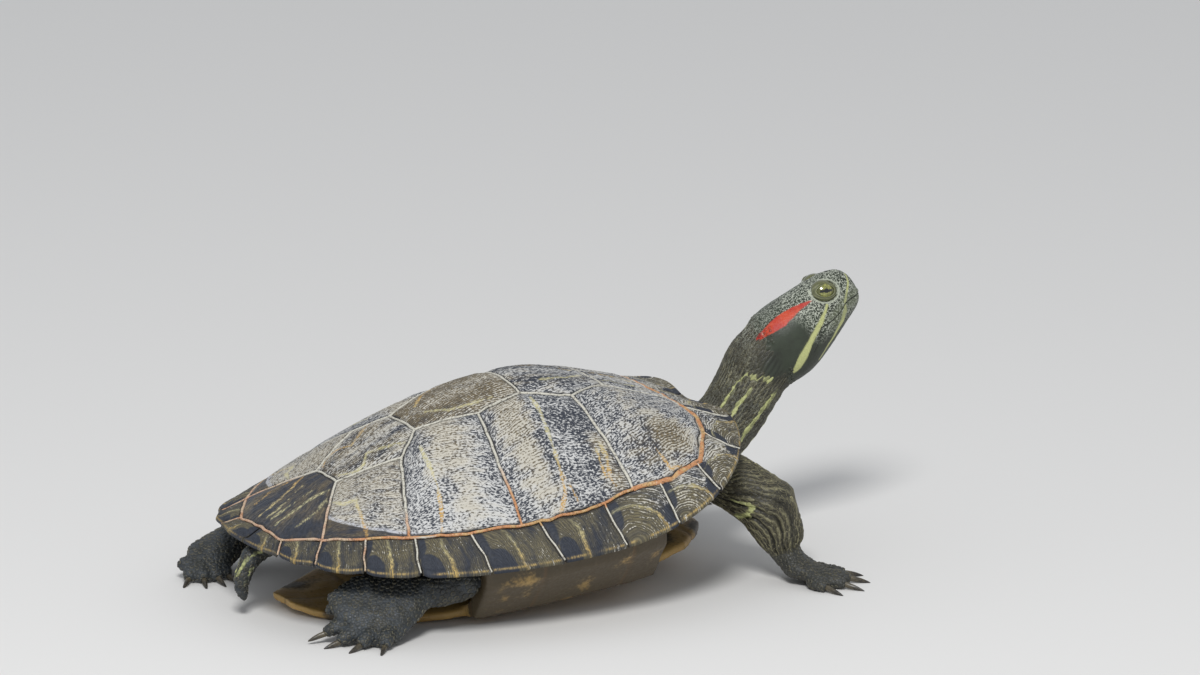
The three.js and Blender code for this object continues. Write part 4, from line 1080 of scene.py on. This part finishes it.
def markings(points):
    """The red and yellow of the skin and how flecked it is, by place; both sides are marked alike."""
    head, floor = in_head(points), points * 1000
    behind, above = head[:, 0], head[:, 2]
    folded = np.stack([behind, np.abs(head[:, 1]), above], -1)
    wander = np.stack([lumps(points + shift, 0.0035) for shift in (0.0, 0.5, 0.9)], -1) * 0.45

    def striped(places, stripes):
        return np.max([line_share(places, line, widths) for line, widths in stripes], axis=0)

    red = line_share(folded + wander, RED_PATCH, [0.5, 2.0, 4.6, 6.4, 4.6, 2.4])
    yellow = striped(folded + wander * 0.7, HEAD_STRIPES) * (behind < 60)
    middle = np.interp(floor[:, 0], *zip(*NECK_MIDDLE))
    neck = round_neck(floor[:, 0], np.abs(floor[:, 1] - middle), floor[:, 2]) + wander[:, :2] * 0.8
    on_neck = (behind > 43) & (floor[:, 0] > 60) & (np.abs(floor[:, 1]) < 24)
    lines = [(round_neck(*np.array(line, float).T), widths) for line, widths in NECK_STRIPES]
    stripes = striped(neck, lines) * on_neck
    tail = np.stack([floor[:, 0], np.abs(floor[:, 1] + 1), floor[:, 2]], -1) + wander * 0.6
    tail_lines = striped(tail, [(line, [1.0] * 3) for line in TAIL_STRIPES])
    out, aside = beside_leg(floor)
    arm = np.stack([out, floor[:, 2]], -1) + wander[:, :2]
    arm = line_share(arm, FOREARM_MARK, [1.0, 1.2, 2.2, 2.4, 2.0])
    arm *= (aside > 14) & (floor[:, 0] > 0)
    yellow = np.clip(np.max([yellow, stripes, tail_lines, arm], axis=0), 0, 1) * (1 - red)
    face = (1 - soft_step(24, 34, behind)) * soft_step(-6, 2, above)
    crown = soft_step(10, 17, above) * (1 - soft_step(48, 60, behind))
    fleck = np.clip(0.95 * face + 0.55 * crown + 0.18 * soft_step(44, 56, behind) * on_neck, 0, 1)
    return {"red": red, "yellow": yellow, "fleck": np.clip(fleck - 0.8 * cheek(head), 0, 1)}


points, normals = points_of(skin), points_of(skin, "normal")
on_head, on_neck = part_share("head", "lower_jaw"), part_share("neck")
on_foot, on_leg = part_share("forefoot", "hindfoot"), part_share("upper_arm", "forearm", "thigh", "shank")
on_tail, on_trunk = part_share("tail"), part_share("trunk")
head, floor = in_head(points), points * 1000


def creases(points, size, octaves=2):
    """Creased noise: below 0 along thin lines, above 0 between them."""
    return np.abs(lumps(points, size, octaves)) - 0.25


# Loose skin: broad folds at the shoulders and groins, fine folds along legs and neck.
foreleg = part_share("upper_arm", "forearm") * (points[:, 0] > 0)
loose = np.clip(on_leg - 0.7 * foreleg + 0.8 * on_tail, 0, 1)
folds = creases(points * np.array([0.45, 1.0, 0.7]), 0.0042, 3) * 0.0011 * loose
arm_rows = combed(points)[0]
wander = lumps(points, 0.007)
grooves = np.max([hump(arm_rows + 1.1 * wander - level, 0.50) for level in ARM_GROOVES], axis=0)
grooves *= soft_step(-0.5, 0.1, lumps(points, 0.016))
ripple = wave((arm_rows + 1.6 * wander) / WRINKLE_STEP)
folds += foreleg * (0.00020 * ripple - 0.0011 * grooves)
folds += creases(points + 0.3, 0.009) * 0.0020 * np.clip(on_trunk + 0.25 * on_leg - 0.25 * foreleg, 0, 1)
beside = floor[:, 1] - np.interp(floor[:, 0], *zip(*NECK_MIDDLE))
round_it = round_neck(floor[:, 0], beside, floor[:, 2])[:, 1]
rows = wave((round_it + 1.2 * lumps(points, 0.008)) / WRINKLE_STEP)
folds += on_neck * (0.00016 * rows + 0.0007 * creases(points * np.array([0.5, 1, 0.4]), 0.006))
along_neck = points @ np.array([0.62, 0, 0.78])
throat = np.cos(along_neck / 0.0065 * 2 * math.pi + 2 * lumps(points, 0.02))
throat *= soft_step(-0.2, 0.6, -normals[:, 2])
folds += 0.00014 * on_neck * throat + 0.0003 * on_foot * lumps(points, 0.0025)
nape = on_head * soft_step(28, 46, head[:, 0])
folds += on_head * 0.00008 * lumps(points, 0.0016) + nape * 0.00025 * creases(points, 0.004)

# The mouth, the nostrils and the crease behind the jaw.
MOUTH = [(-2, 2.4), (1, 2.9), (4, 3.8), (7, 3.9), (11, 2.6), (15, 2.0), (19, 2.2), (22.5, 2.6)]
NOSTRIL = np.array([0.3, 2.1, 13.9])
side_view = head[:, [0, 2]]
mouth = line_share(side_view, MOUTH, [0.5] * 8) * (head[:, 0] < 23) * on_head
corner = line_share(side_view, [(22.5, 2.6), (25.5, -1.5), (31, -5)], [0.7, 0.5, 0.2]) * on_head
nostril = sum(hump(np.linalg.norm(head - NOSTRIL * (1, side, 1), axis=-1), 0.75) for side in (1, -1))
above_mouth = head[:, 2] - np.interp(head[:, 0], *zip(*MOUTH))
beak = (1 - soft_step(14, 22, head[:, 0])) * (1 - soft_step(2.5, 4.5, np.abs(above_mouth))) * on_head
lip = 0.35 * hump(above_mouth - 0.9, 0.8) * (1 - soft_step(18, 24, head[:, 0])) * on_head
folded = np.stack([head[:, 0], np.abs(head[:, 1]), head[:, 2]], -1)
# A crease behind the jaw; the pale line painted along it is a painted glint.
glinting_crease = line_share(folded, [(46, 8.5, 16), (46.2, 12, 11.5), (45.2, 14.9, 5)], [0.4, 0.6, 0.3])
lift = folds + (-0.9 * mouth - 0.45 * corner - 1.1 * nostril + lip - 0.35 * glinting_crease) / 1000
points = points + normals * lift[:, None]

# The lids: a thick ring that bulges over the ball, with a level slit and two fine folds.
lid_ring, lid_fold_highlight, pale_ring = (np.zeros(len(points)) for _ in range(3))
for side in (1, -1):
    centre, along, up, out = eye_axes(side)
    away = (points - centre) * 1000
    u, w, h = away @ along, away @ up, away @ out
    near = (h > 0) & (np.hypot(u, w) < 9.5)
    ring = np.hypot(u / LID_LONG, w / LID_TALL)
    slit = np.hypot(u / SLIT_LONG, w / SLIT_TALL)
    squeeze = np.where(near & (slit < 1.5), hump(slit - 1, 0.22) * (1 - slit) * 0.55, 0)
    u, w = u * (1 + squeeze), w * (1 + squeeze)
    slit = np.hypot(u / SLIT_LONG, w / SLIT_TALL)
    fine_fold = wave((slit - 1.05) / 0.30)
    lid = 3.0 + 2.45 * np.sqrt(np.clip(1 - ring ** 2, 0, 1))
    lid -= 1.7 * np.clip(w / LID_TALL, 0, 1) ** 1.5
    lid -= 0.75 * hump(np.abs(u) - 4.6, 1.3) * hump(w, 1.4)
    lid += 0.10 * fine_fold * soft_step(1.0, 1.15, slit) + 0.16 * hump(slit - 1.06, 0.07)
    under_ball = 4.45 * np.sqrt(np.clip(1 - (u / 6.2) ** 2 - (w / 5.6) ** 2, 0.05, 1))
    lid = np.where(slit < 0.985, np.minimum(lid, under_ball), lid)
    hold = 1 - soft_step(0.92, 1.16, ring)
    groove = 0.22 * hump(ring - 1.17, 0.08) - 0.55 * hump(ring - 1.02, 0.055)
    h = h + (lid - h) * hold + groove
    moved = centre + (u[:, None] * along + w[:, None] * up + h[:, None] * out) / 1000
    points = np.where(near[:, None], moved, points)
    lid_ring = np.maximum(lid_ring, near * (1 - soft_step(0.98, 1.04, ring)))
    lid_fold_highlight = np.maximum(lid_fold_highlight, near * np.clip(fine_fold, 0, 1))
    pale_ring = np.maximum(pale_ring, near * hump(ring - 1.14, 0.09))
set_points(skin, points)
marks = markings(points)
for name in ("red", "yellow", "fleck"):
    set_note(skin, name, marks[name] * (1 - lid_ring))
ridge = foreleg * np.clip(ripple * 2.2 - 1.2 + 1.4 * lumps(points, 0.004), 0, 1) * (1 - grooves)
# The neck's crests are painted fainter than the forelegs': painted shade on the side of the neck.
ridge += 0.65 * on_neck * np.clip(rows * 2.4 - 1.6 + 2.0 * lumps(points, 0.005), 0, 1)
bare_cheek = cheek(in_head(points))
# The slate tint is partly the skin's own grey and partly painted light: brightened and blued for the sky
# reflected in wet skin.
slate = part_share("hindfoot", "shank", "thigh", "tail") + 0.6 * part_share("forefoot") + 0.6 * on_trunk
for name, values in {
        "lid": lid_ring * (0.4 + 0.6 * lid_fold_highlight), "lid_skin": lid_ring, "beak": beak,
        "pale": np.clip(pale_ring + 0.8 * glinting_crease, 0, 1) * (1 - lid_ring),
        "dark": np.clip(mouth + 0.8 * corner + 1.2 * nostril, 0, 1),
        "fold": np.clip(-folds * 2500, 0, 1),
        "ridge": np.clip(ridge * (1 - soft_step(0.10, 0.35, bare_cheek)), 0, 1),
        "head": np.clip(on_head + 1.5 * bare_cheek, 0, 1),
        "combed": np.clip(foreleg + 0.6 * on_neck, 0, 1), "slate": np.clip(slate, 0, 1)}.items():
    set_note(skin, name, values)

# The mesh is thinned where it is smooth. The lids, and the edges of the marks on the bare head, stay fine.
painted = np.stack([marks["red"], marks["yellow"]], -1)
edged = (np.abs(painted - blurred(skin, painted, 2)).max(axis=-1) > 0.04) & (on_head > 0.5)
smooth_skin = ~(edged | (from_eye(points) < LID_KEPT))
rework(skin, smooth_skin, bpy.ops.mesh.decimate, ratio=THINNED_TO)
owner = nearest_node(points_of(skin), WRAPPED)


def skin_finish(name, coat=False):
    """Dark olive skin: pale worm-like flecks, yellow lines and the red patch; painted shade darkens its
    folds.
    """
    hide = Finish(name)
    broad, fine = hide.noise(0.008, 3.0), hide.noise(0.0006, 2.0)
    worms = hide.noise(0.0014, 2.5, 0.6)
    red, yellow, fleck, head = hide.note("red"), hide.note("yellow"), hide.note("fleck"), hide.note("head")
    colour = hide.mix(head, (0.050, 0.044, 0.025), (0.034, 0.044, 0.028))
    # Partly painted light: the slate is the skin's grey, brightened and blued for the sky reflected in it
    # when wet.
    colour = hide.mix(hide.note("slate"), colour, (0.038, 0.046, 0.054))
    colour = hide.mix(broad.between(0.35, 0.7) * 0.6, colour, (0.018, 0.019, 0.014))
    worm = 1 - (worms - 0.5).size().between(0.018, 0.068)
    flecked = worm * fleck * fine.between(0.3, 0.55, 0.4, 1.0)
    # Painted shade: the skin is darkened in its folds.
    colour = hide.mix(hide.note("fold") * 0.8, colour, (0.008, 0.008, 0.006))
    colour = hide.mix(hide.note("ridge") * fine.between(0.3, 0.6, 0.2, 0.75), colour, (0.29, 0.27, 0.155))
    colour = hide.mix(flecked * 0.92, colour, (0.56, 0.59, 0.49))
    crimson = hide.mix(broad.between(0.4, 0.6), (0.40, 0.016, 0.010), (0.52, 0.050, 0.012))
    colour = hide.mix(red, colour, hide.mix(worm * 0.15, crimson, (0.50, 0.20, 0.15)))
    colour = hide.mix(yellow, colour, hide.mix(fine, (0.60, 0.62, 0.27), (0.36, 0.38, 0.16)))
    if coat:
        rim, tone = hide.note("rim"), hide.note("tone")
        colour = hide.mix(tone.between(0, 1, 0.0, 0.55), colour, (0.014, 0.014, 0.011))
        colour = hide.mix(rim * (1 - red) * tone.between(0.2, 1.0, 0.15, 0.55), colour, (0.27, 0.24, 0.15))
        edge = rim.between(0.50, 0.72) * hide.note("combed") * (1 - hide.note("fold"))
        edge = edge * (1 - red) * (1 - yellow)
        colour = hide.mix(edge * broad.between(0.3, 0.55, 0.45, 0.95), colour, (0.46, 0.42, 0.23))
        roughness = fine.between(0.2, 0.8, 0.38, 0.6)
        return hide.surface(colour, roughness, fine, 0.00006, specular_ior_level=0.45)
    net = hide.cells(0.0013)
    # The pale ring round the lids, and the painted glint along the crease behind the jaw.
    colour = hide.mix(hide.note("pale") * fine.between(0.2, 0.5, 0.5, 1.0) * 0.85, colour, (0.50, 0.53, 0.42))
    colour = hide.mix(hide.note("beak") * 0.45, colour, (0.17, 0.19, 0.12))
    # The lid ring is dark olive, painted lighter on the crests of its folds: painted highlights.
    lid_colour_and_highlight = hide.mix(hide.note("lid"), (0.036, 0.038, 0.020), (0.20, 0.21, 0.11))
    colour = hide.mix(hide.note("lid_skin"), colour, lid_colour_and_highlight)
    # Painted shade: the mouth slit, the crease at the jaw's corner and the nostrils are darkened almost to
    # black.
    colour = hide.mix(hide.note("dark") * 0.95, colour, (0.004, 0.004, 0.004))
    height = fine * 0.35 + flecked * 0.5 + net.between(0, 0.2) * (1 - head) * 0.6
    return hide.surface(colour, fine.between(0.2, 0.8, 0.42, 0.62), height, 0.00018, specular_ior_level=0.45)


dress(skin, skin_finish("skin"), "skin", *FLESH)


# ==== Scales ====
# The neck, legs and tail are studded with small horny scales that sit edge to edge in the skin.
# They lie along each limb, long and narrow on the neck and forelegs and broadest on the thighs.
SCALE_SIDES = 8
SCALES_TRIED = 130000               # places tried over the skin; most fall too near another scale
NEIGHBOURS = 22                     # how many neighbours can cut a scale's outline
SCALE_ROOT = 0.00016                # how deep a scale's foot is sunk in the skin
RING_WIDTHS = (1.0, 0.80, 0.40)     # of the foot, the shoulder and the top of a scale
RING_RIMS = (1.0, 0.55, 0.0)        # how much of the pale rim each ring shows
LEAF_SIZE = (0.0015, 0.0012, 0.0006)    # half sizes of the rings on the OFBake map
# The neck's scale rims are dimmed beside the others: painted shade on the side of the neck.
NECK_RIM_SHADED = 0.62                     # how pale the rims of the neck's scales are beside the others
SCALE_SIZES = {"head": 0.0013, "neck": 0.00115, "trunk": 0.0021, "tail": 0.0015, "upper_arm": 0.00108,
               "forearm": 0.00112, "forefoot": 0.0015, "thigh": 0.0019, "shank": 0.0019, "hindfoot": 0.0016}
SCALE_STRETCH = {"neck": 0.36, "forearm": 0.42, "upper_arm": 0.42, "tail": 0.8}
COAT_GROUPS = {"neck_scales": ("neck", "head", "lower_jaw"), "body_scales": ("trunk", "tail")}
for side in ("left", "right"):
    COAT_GROUPS[f"foreleg_scales_{side}"] = (f"upper_arm_{side}", f"forearm_{side}", f"forefoot_{side}")
    COAT_GROUPS[f"hindleg_scales_{side}"] = (f"thigh_{side}", f"shank_{side}", f"hindfoot_{side}")


def middle_of(node):
    return points_of(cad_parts[node]).mean(axis=0)


def lie_of(node):
    """The way the scales of one part point: out along a leg, back along the neck and tail."""
    if node == "tail":
        return np.array([-0.9, 0, -0.4])
    if node in ("head", "lower_jaw", "neck"):
        return middle_of("neck") - middle_of("head")
    part, side = node.rsplit("_", 1) if "_" in node else (node, "")
    chains = {"upper_arm": "forearm", "forearm": "forefoot", "thigh": "shank", "shank": "hindfoot"}
    if part in chains:
        return middle_of(f"{chains[part]}_{side}") - middle_of(node)
    before = {"forefoot": "forearm", "hindfoot": "shank"}.get(part)
    return middle_of(node) - middle_of(f"{before}_{side}") if before else np.array([-1.0, 0, -0.2])


def near_tree(points):
    tree = KDTree(len(points))
    for number, point in enumerate(points.tolist()):
        tree.insert(point, number)
    tree.balance()
    return tree


def strewn(points, lies, spacing, stretch, order):
    """Picks points in turn, and drops what lies closer than the spacing, which a stretch lengthens."""
    tree = near_tree(points)
    free, kept = np.ones(len(points), bool), []
    for number in order:
        if free[number]:
            kept.append(number)
            found = tree.find_range(points[number], spacing[number] / stretch[number])
            found = np.array([hit[1] for hit in found])
            away = points[found] - points[number]
            along = (away @ lies[number]) ** 2
            length = (away ** 2).sum(axis=1) - (1 - stretch[number] ** 2) * along
            free[found[length < spacing[number] ** 2]] = False
    return np.array(kept)


def unwrapped(points, node, number):
    """A place on the unwrap of the skin: each part has a tile, with length along it and turn about it."""
    tile = np.array([number % 6, number // 6]) / 6
    axis = lie_of(node) / np.linalg.norm(lie_of(node))
    across = np.cross(axis, (0, 0.3, 1))
    across /= np.linalg.norm(across)
    away = points - points.mean(axis=0)
    length = away @ axis
    length = (length - length.min()) / max(length.max() - length.min(), 1e-6)
    turn = np.arctan2(away @ np.cross(axis, across), away @ across) / (2 * math.pi) + 0.5
    return tile + np.stack([length, turn], -1) * 0.150 + 0.006


chance = np.random.default_rng(11)
mesh = skin.data
mesh.calc_loop_triangles()
corners = np.empty(len(mesh.loop_triangles) * 3, int)
mesh.loop_triangles.foreach_get("vertices", corners)
corners = corners.reshape(-1, 3)
points, normals = points_of(skin), points_of(skin, "normal")
a, b, c = (points[corners[:, k]] for k in range(3))
areas = np.linalg.norm(np.cross(b - a, c - a), axis=-1) / 2
deep_inside = (owner == 0) & (blurred(skin, (owner == 0).astype(float), 6) > 0.999)
areas = np.where(deep_inside[corners[:, 0]], 0, areas)
picks = chance.choice(len(areas), SCALES_TRIED, p=areas / areas.sum())
root_u, root_v = np.sqrt(chance.random(len(picks))), chance.random(len(picks))
weights = np.stack([1 - root_u, root_u * (1 - root_v), root_u * root_v], -1)
roots = np.einsum("nk,nkd->nd", weights, points[corners[picks]])
root_normals = np.einsum("nk,nkd->nd", weights, normals[corners[picks]])
root_normals /= np.linalg.norm(root_normals, axis=-1, keepdims=True)
first_corner = corners[picks, 0]
root_owner = owner[first_corner]
lie_table = np.array([lie_of(node) for node in node_names])
lie_table /= np.linalg.norm(lie_table, axis=-1, keepdims=True)
lies = blurred(skin, lie_table[owner], 12)[first_corner]
on_arm = np.array([node.startswith(("upper_arm", "forearm")) for node in node_names])[root_owner]
lies[on_arm] = combed(roots[on_arm])[1]
lies -= (lies * root_normals).sum(axis=-1, keepdims=True) * root_normals
lies /= np.maximum(np.linalg.norm(lies, axis=-1, keepdims=True), 1e-9)
kinds = [name.removesuffix("_left").removesuffix("_right") for name in node_names]
kinds = ["head" if kind == "lower_jaw" else kind for kind in kinds]
size_at = blurred(skin, np.array([SCALE_SIZES[kind] for kind in kinds])[owner], 6)
stretch_at = blurred(skin, np.array([SCALE_STRETCH.get(kind, 0.9) for kind in kinds])[owner], 6)
spacing, stretch = size_at[first_corner], stretch_at[first_corner]
root_head = in_head(roots)
on_front = np.isin(node_names[root_owner], ["neck", "head", "lower_jaw"])
bare = (root_head[:, 0] < 43 + 3 * lumps(roots, 0.006)) & on_front
bare |= (cheek(root_head) > 0.38) | (roots[:, 2] < 0.0009)
kept = strewn(roots, lies, spacing, stretch, np.flatnonzero(~bare))
root, normal, lie = roots[kept], root_normals[kept], lies[kept]
spacing, stretch = spacing[kept], stretch[kept]
kept_owner = node_names[root_owner[kept]]

# Each scale is the cell between its neighbours, measured along and across its lie.
tree = near_tree(root)
near = np.array([[hit[1] for hit in tree.find_n(point, NEIGHBOURS + 1)][1:] for point in root.tolist()])
cross = np.cross(normal, lie)
away = root[near] - root[:, None]
along = np.einsum("nkd,nd->nk", away, lie) * stretch[:, None]
sideways = np.einsum("nkd,nd->nk", away, cross)
first_turn = chance.random((len(kept), 1)) * 2 * math.pi / SCALE_SIDES
turns = np.linspace(0, 2 * math.pi, SCALE_SIDES, endpoint=False) + first_turn
cos, sin = np.cos(turns), np.sin(turns)
towards = along[:, :, None] * cos[:, None] + sideways[:, :, None] * sin[:, None]
to_border = (along ** 2 + sideways ** 2)[:, :, None] / 2 / np.maximum(towards, 1e-9)
reach = np.where(towards > 1e-9, to_border, 1.0).min(axis=1)
long = np.clip((0.75 - stretch) / 0.3, 0, 1)
reach = np.minimum(reach, ((0.66 + 0.24 * long) * spacing)[:, None]) * (0.95 + 0.02 * long)[:, None]
rim = (reach * cos / stretch[:, None])[..., None] * lie[:, None] + (reach * sin)[..., None] * cross[:, None]
height = ((0.17 - 0.06 * long) * spacing * chance.uniform(0.75, 1.15, len(kept)))[:, None, None]
up = normal[:, None]
tilt = (0.10 - 0.08 * long)[:, None, None] * np.einsum("nkd,nd->nk", rim, lie)[..., None] * up
levels = [-SCALE_ROOT + 0 * height, height * 0.72, height]
block = np.concatenate([root[:, None] + rim * wide + up * level + tilt * lean
                        for wide, level, lean in zip(RING_WIDTHS, levels, (0, 1, 0.4))], axis=1)
over_skin = np.concatenate([np.repeat(level[:, 0], SCALE_SIDES, axis=1) for level in levels], axis=1)
# A long scale bends with the skin: each of its points keeps its height over the skin beneath it.
under = BVHTree.FromPolygons(points.tolist(), corners.tolist())
for number in np.flatnonzero(long > 0.3):
    for k, point in enumerate(block[number].tolist()):
        foot, upright = under.find_nearest(point)[:2]
        block[number, k] = foot + upright * over_skin[number, k]
tones = chance.random(len(kept))
coat_finish = skin_finish("scales", coat=True)
EACH = 3 * SCALE_SIDES
sides = [[ring + k, ring + after, ring + SCALE_SIDES + after, ring + SCALE_SIDES + k]
         for k, after in enumerate(np.roll(range(SCALE_SIDES), -1).tolist()) for ring in (0, SCALE_SIDES)]
caps = [list(range(2 * SCALE_SIDES, EACH)), list(range(SCALE_SIDES))[::-1]]
for group_number, (group, nodes) in enumerate(COAT_GROUPS.items()):
    chosen = np.flatnonzero(np.isin(kept_owner, nodes))
    starts = np.arange(len(chosen))[:, None, None] * EACH
    faces = [face for shape in (sides, caps[:1], caps[1:])
             for face in (np.array(shape) + starts).reshape(-1, len(shape[0])).tolist()]
    mesh = bpy.data.meshes.new(group)
    mesh.from_pydata(block[chosen].reshape(-1, 3).tolist(), [], faces)
    piece = bpy.data.objects.new(group, mesh)
    bpy.context.collection.objects.link(piece)
    smooth(piece)
    notes = dict(markings(root[chosen]), tone=tones[chosen])
    for name in ("head", "slate", "fold", "ridge", "combed"):
        values = np.empty(len(skin.data.vertices))
        skin.data.attributes[name].data.foreach_get("value", values)
        notes[name] = (weights * values[corners[picks]]).sum(axis=-1)[kept[chosen]]
    for name, values in notes.items():
        set_note(piece, name, np.repeat(values, EACH))
    # The neck's scale rims are dimmed: painted shade.
    rim_shade_factor = NECK_RIM_SHADED if group == "neck_scales" else 1.0
    set_note(piece, "rim", np.tile(np.repeat(RING_RIMS, SCALE_SIDES), len(chosen)) * rim_shade_factor)
    place = np.zeros((len(chosen), 2))
    for tile, node in enumerate(nodes):
        own = kept_owner[chosen] == node
        if own.any():
            place[own] = unwrapped(root[chosen][own], node, group_number * 3 + tile)
    leaf = np.tile(np.stack([cos[0], sin[0]], -1), (3, 1)) * np.repeat(LEAF_SIZE, SCALE_SIDES)[:, None]
    uv_points = (place[:, None] + leaf[None]).reshape(-1, 2)
    uv = mesh.uv_layers.new(name="OFBake")
    loops = np.empty(len(mesh.loops), int)
    mesh.loops.foreach_get("vertex_index", loops)
    uv.data.foreach_set("uv", uv_points[loops].ravel())
    dress(piece, coat_finish, "skin")


# ==== Eyes ====
# Each eye is a wet ball; the olive iris is crossed by a level dark bar, with the round pupil in it.
BALL = (5.75, 5.3, 5.15)            # half sizes along, up and out, mm
CORNEA, CORNEA_HALF = 0.25, 2.2
for side, word in ((1, "left"), (-1, "right")):
    centre, along, up, out = eye_axes(side)
    ball = primitive(bpy.ops.mesh.primitive_uv_sphere_add, f"eye_ball_{word}", segments=64, ring_count=48,
                     radius=1)
    local = points_of(ball) * BALL
    set_note(ball, "across", local[:, 0])
    set_note(ball, "up", local[:, 1])
    local[:, 2] += CORNEA * hump(np.hypot(local[:, 0], local[:, 1]), CORNEA_HALF) * (local[:, 2] > 0)
    set_points(ball, centre + local @ np.array([along, up, out]) / 1000)
    if np.dot(np.cross(along, up), out) < 0:
        ball.data.flip_normals()
    smooth(ball)
    iris = Finish(f"eye_{word}")
    fine = iris.noise(0.0007, 3.0, 0.6)
    across, upward = iris.note("across") + (fine - 0.5) * 0.5, iris.note("up") + (fine - 0.5) * 0.7
    radius = (across * across + upward * upward) ** 0.5
    colour = iris.mix(fine.between(0.35, 0.65), (0.34, 0.34, 0.085), (0.10, 0.11, 0.022))
    colour = iris.mix(radius.between(2.6, 3.4) * 0.75, colour, (0.05, 0.055, 0.02))
    bar = (1 - upward.size().between(0.35, 0.75)) * (1 - across.size().between(2.6, 3.4))
    colour = iris.mix(bar.most(1 - radius.between(0.95, 1.25)), colour, (0.003, 0.003, 0.003))
    finish = iris.surface(colour, 0.12, coat_weight=1.0, coat_roughness=0.04)
    dress(ball, finish, "eye", f"eye_{word}")


# ==== Claws ====
# Long pointed sheaths of dark horn, slightly curved, each with its root set in the skin of the toe.
claw_horn = Finish("claw_horn")
streak = claw_horn.noise(0.0008, 2.0)
colour = claw_horn.mix(claw_horn.note("tip"), (0.10, 0.085, 0.055), (0.016, 0.015, 0.014))
colour = claw_horn.mix(streak.between(0.4, 0.7) * 0.4, colour, (0.16, 0.13, 0.08))
claw_finish = claw_horn.surface(colour, streak.between(0.2, 0.8, 0.28, 0.45), streak, 0.00006)
CLAW_SUNK = 0.0016                  # how much deeper than its solid a claw's root is set
FEET = (("front", "forefoot", 5), ("hind", "hindfoot", 4))
for side, (kind, foot, count) in ((side, foot) for side in ("left", "right") for foot in FEET):
    for number in range(1, count + 1):
        node = f"{kind}_claw_{side}_{number}"
        claw = solid_copy(f"claw_{kind}_{side}_{number}", [node])
        points = points_of(claw)
        tip = points[np.argmax(np.linalg.norm(points - middle_of(f"{foot}_{side}"), axis=-1))]
        far = np.linalg.norm(points - tip, axis=-1)
        share = 1 - far / far.max()
        root = points[share < 0.15].mean(axis=0)
        outwards = (tip - root) / np.linalg.norm(tip - root)
        points -= outwards * (CLAW_SUNK * (1 - soft_step(0.1, 0.5, share)))[:, None]
        set_points(claw, points)
        shaped(claw, "SUBSURF", levels=2, render_levels=2)
        far = np.linalg.norm(points_of(claw) - tip, axis=-1)
        set_note(claw, "tip", soft_step(0.15, 0.75, 1 - far / far.max()))
        smooth(claw)
        dress(claw, claw_finish, "claw", node)


# ==== Floor, light and camera ====
# A pale studio floor, one broad soft lamp and a plain sky. The camera stands off the right side of
# the shell, a little to the rear, and looks a little down on it.
floor_finish = Finish("studio_floor")
floor_finish.surface((0.74, 0.73, 0.71), 0.9)
floor = primitive(bpy.ops.mesh.primitive_plane_add, "studio_floor", size=8)
floor.data.materials.append(floor_finish.material)

CAMERA_FAR, LENS, SENSOR = 5, 339.5, 36
AIM = Vector((0.0282, 0.0, 0.10416))
TOWARDS = Vector((-0.4527, -0.8529, 0.2605)).normalized()
camera_data = bpy.data.cameras.new("camera")
camera = bpy.data.objects.new("camera", camera_data)
bpy.context.collection.objects.link(camera)
camera.location = AIM + TOWARDS * CAMERA_FAR
camera.rotation_euler = TOWARDS.to_track_quat("Z", "Y").to_euler()
camera_data.lens, camera_data.sensor_width = LENS, SENSOR
camera_data.clip_end = 30
bpy.context.scene.camera = camera

bpy.ops.object.light_add(type="AREA", location=(-0.9, -1.4, 1.9))
lamp = bpy.context.object
lamp.name = "key_lamp"
lamp.rotation_euler = (Vector(lamp.location) - Vector((0, 0, 0.05))).to_track_quat("Z", "Y").to_euler()
lamp.data.shape, lamp.data.size, lamp.data.energy = "DISK", 0.7, 42

world = bpy.data.worlds.new("studio")
bpy.context.scene.world = world
world.use_nodes = True
sky = world.node_tree.nodes["Background"].inputs
sky["Color"].default_value, sky["Strength"].default_value = (0.92, 0.95, 1.0, 1), 0.55
bpy.context.scene.view_settings.view_transform = "Standard"
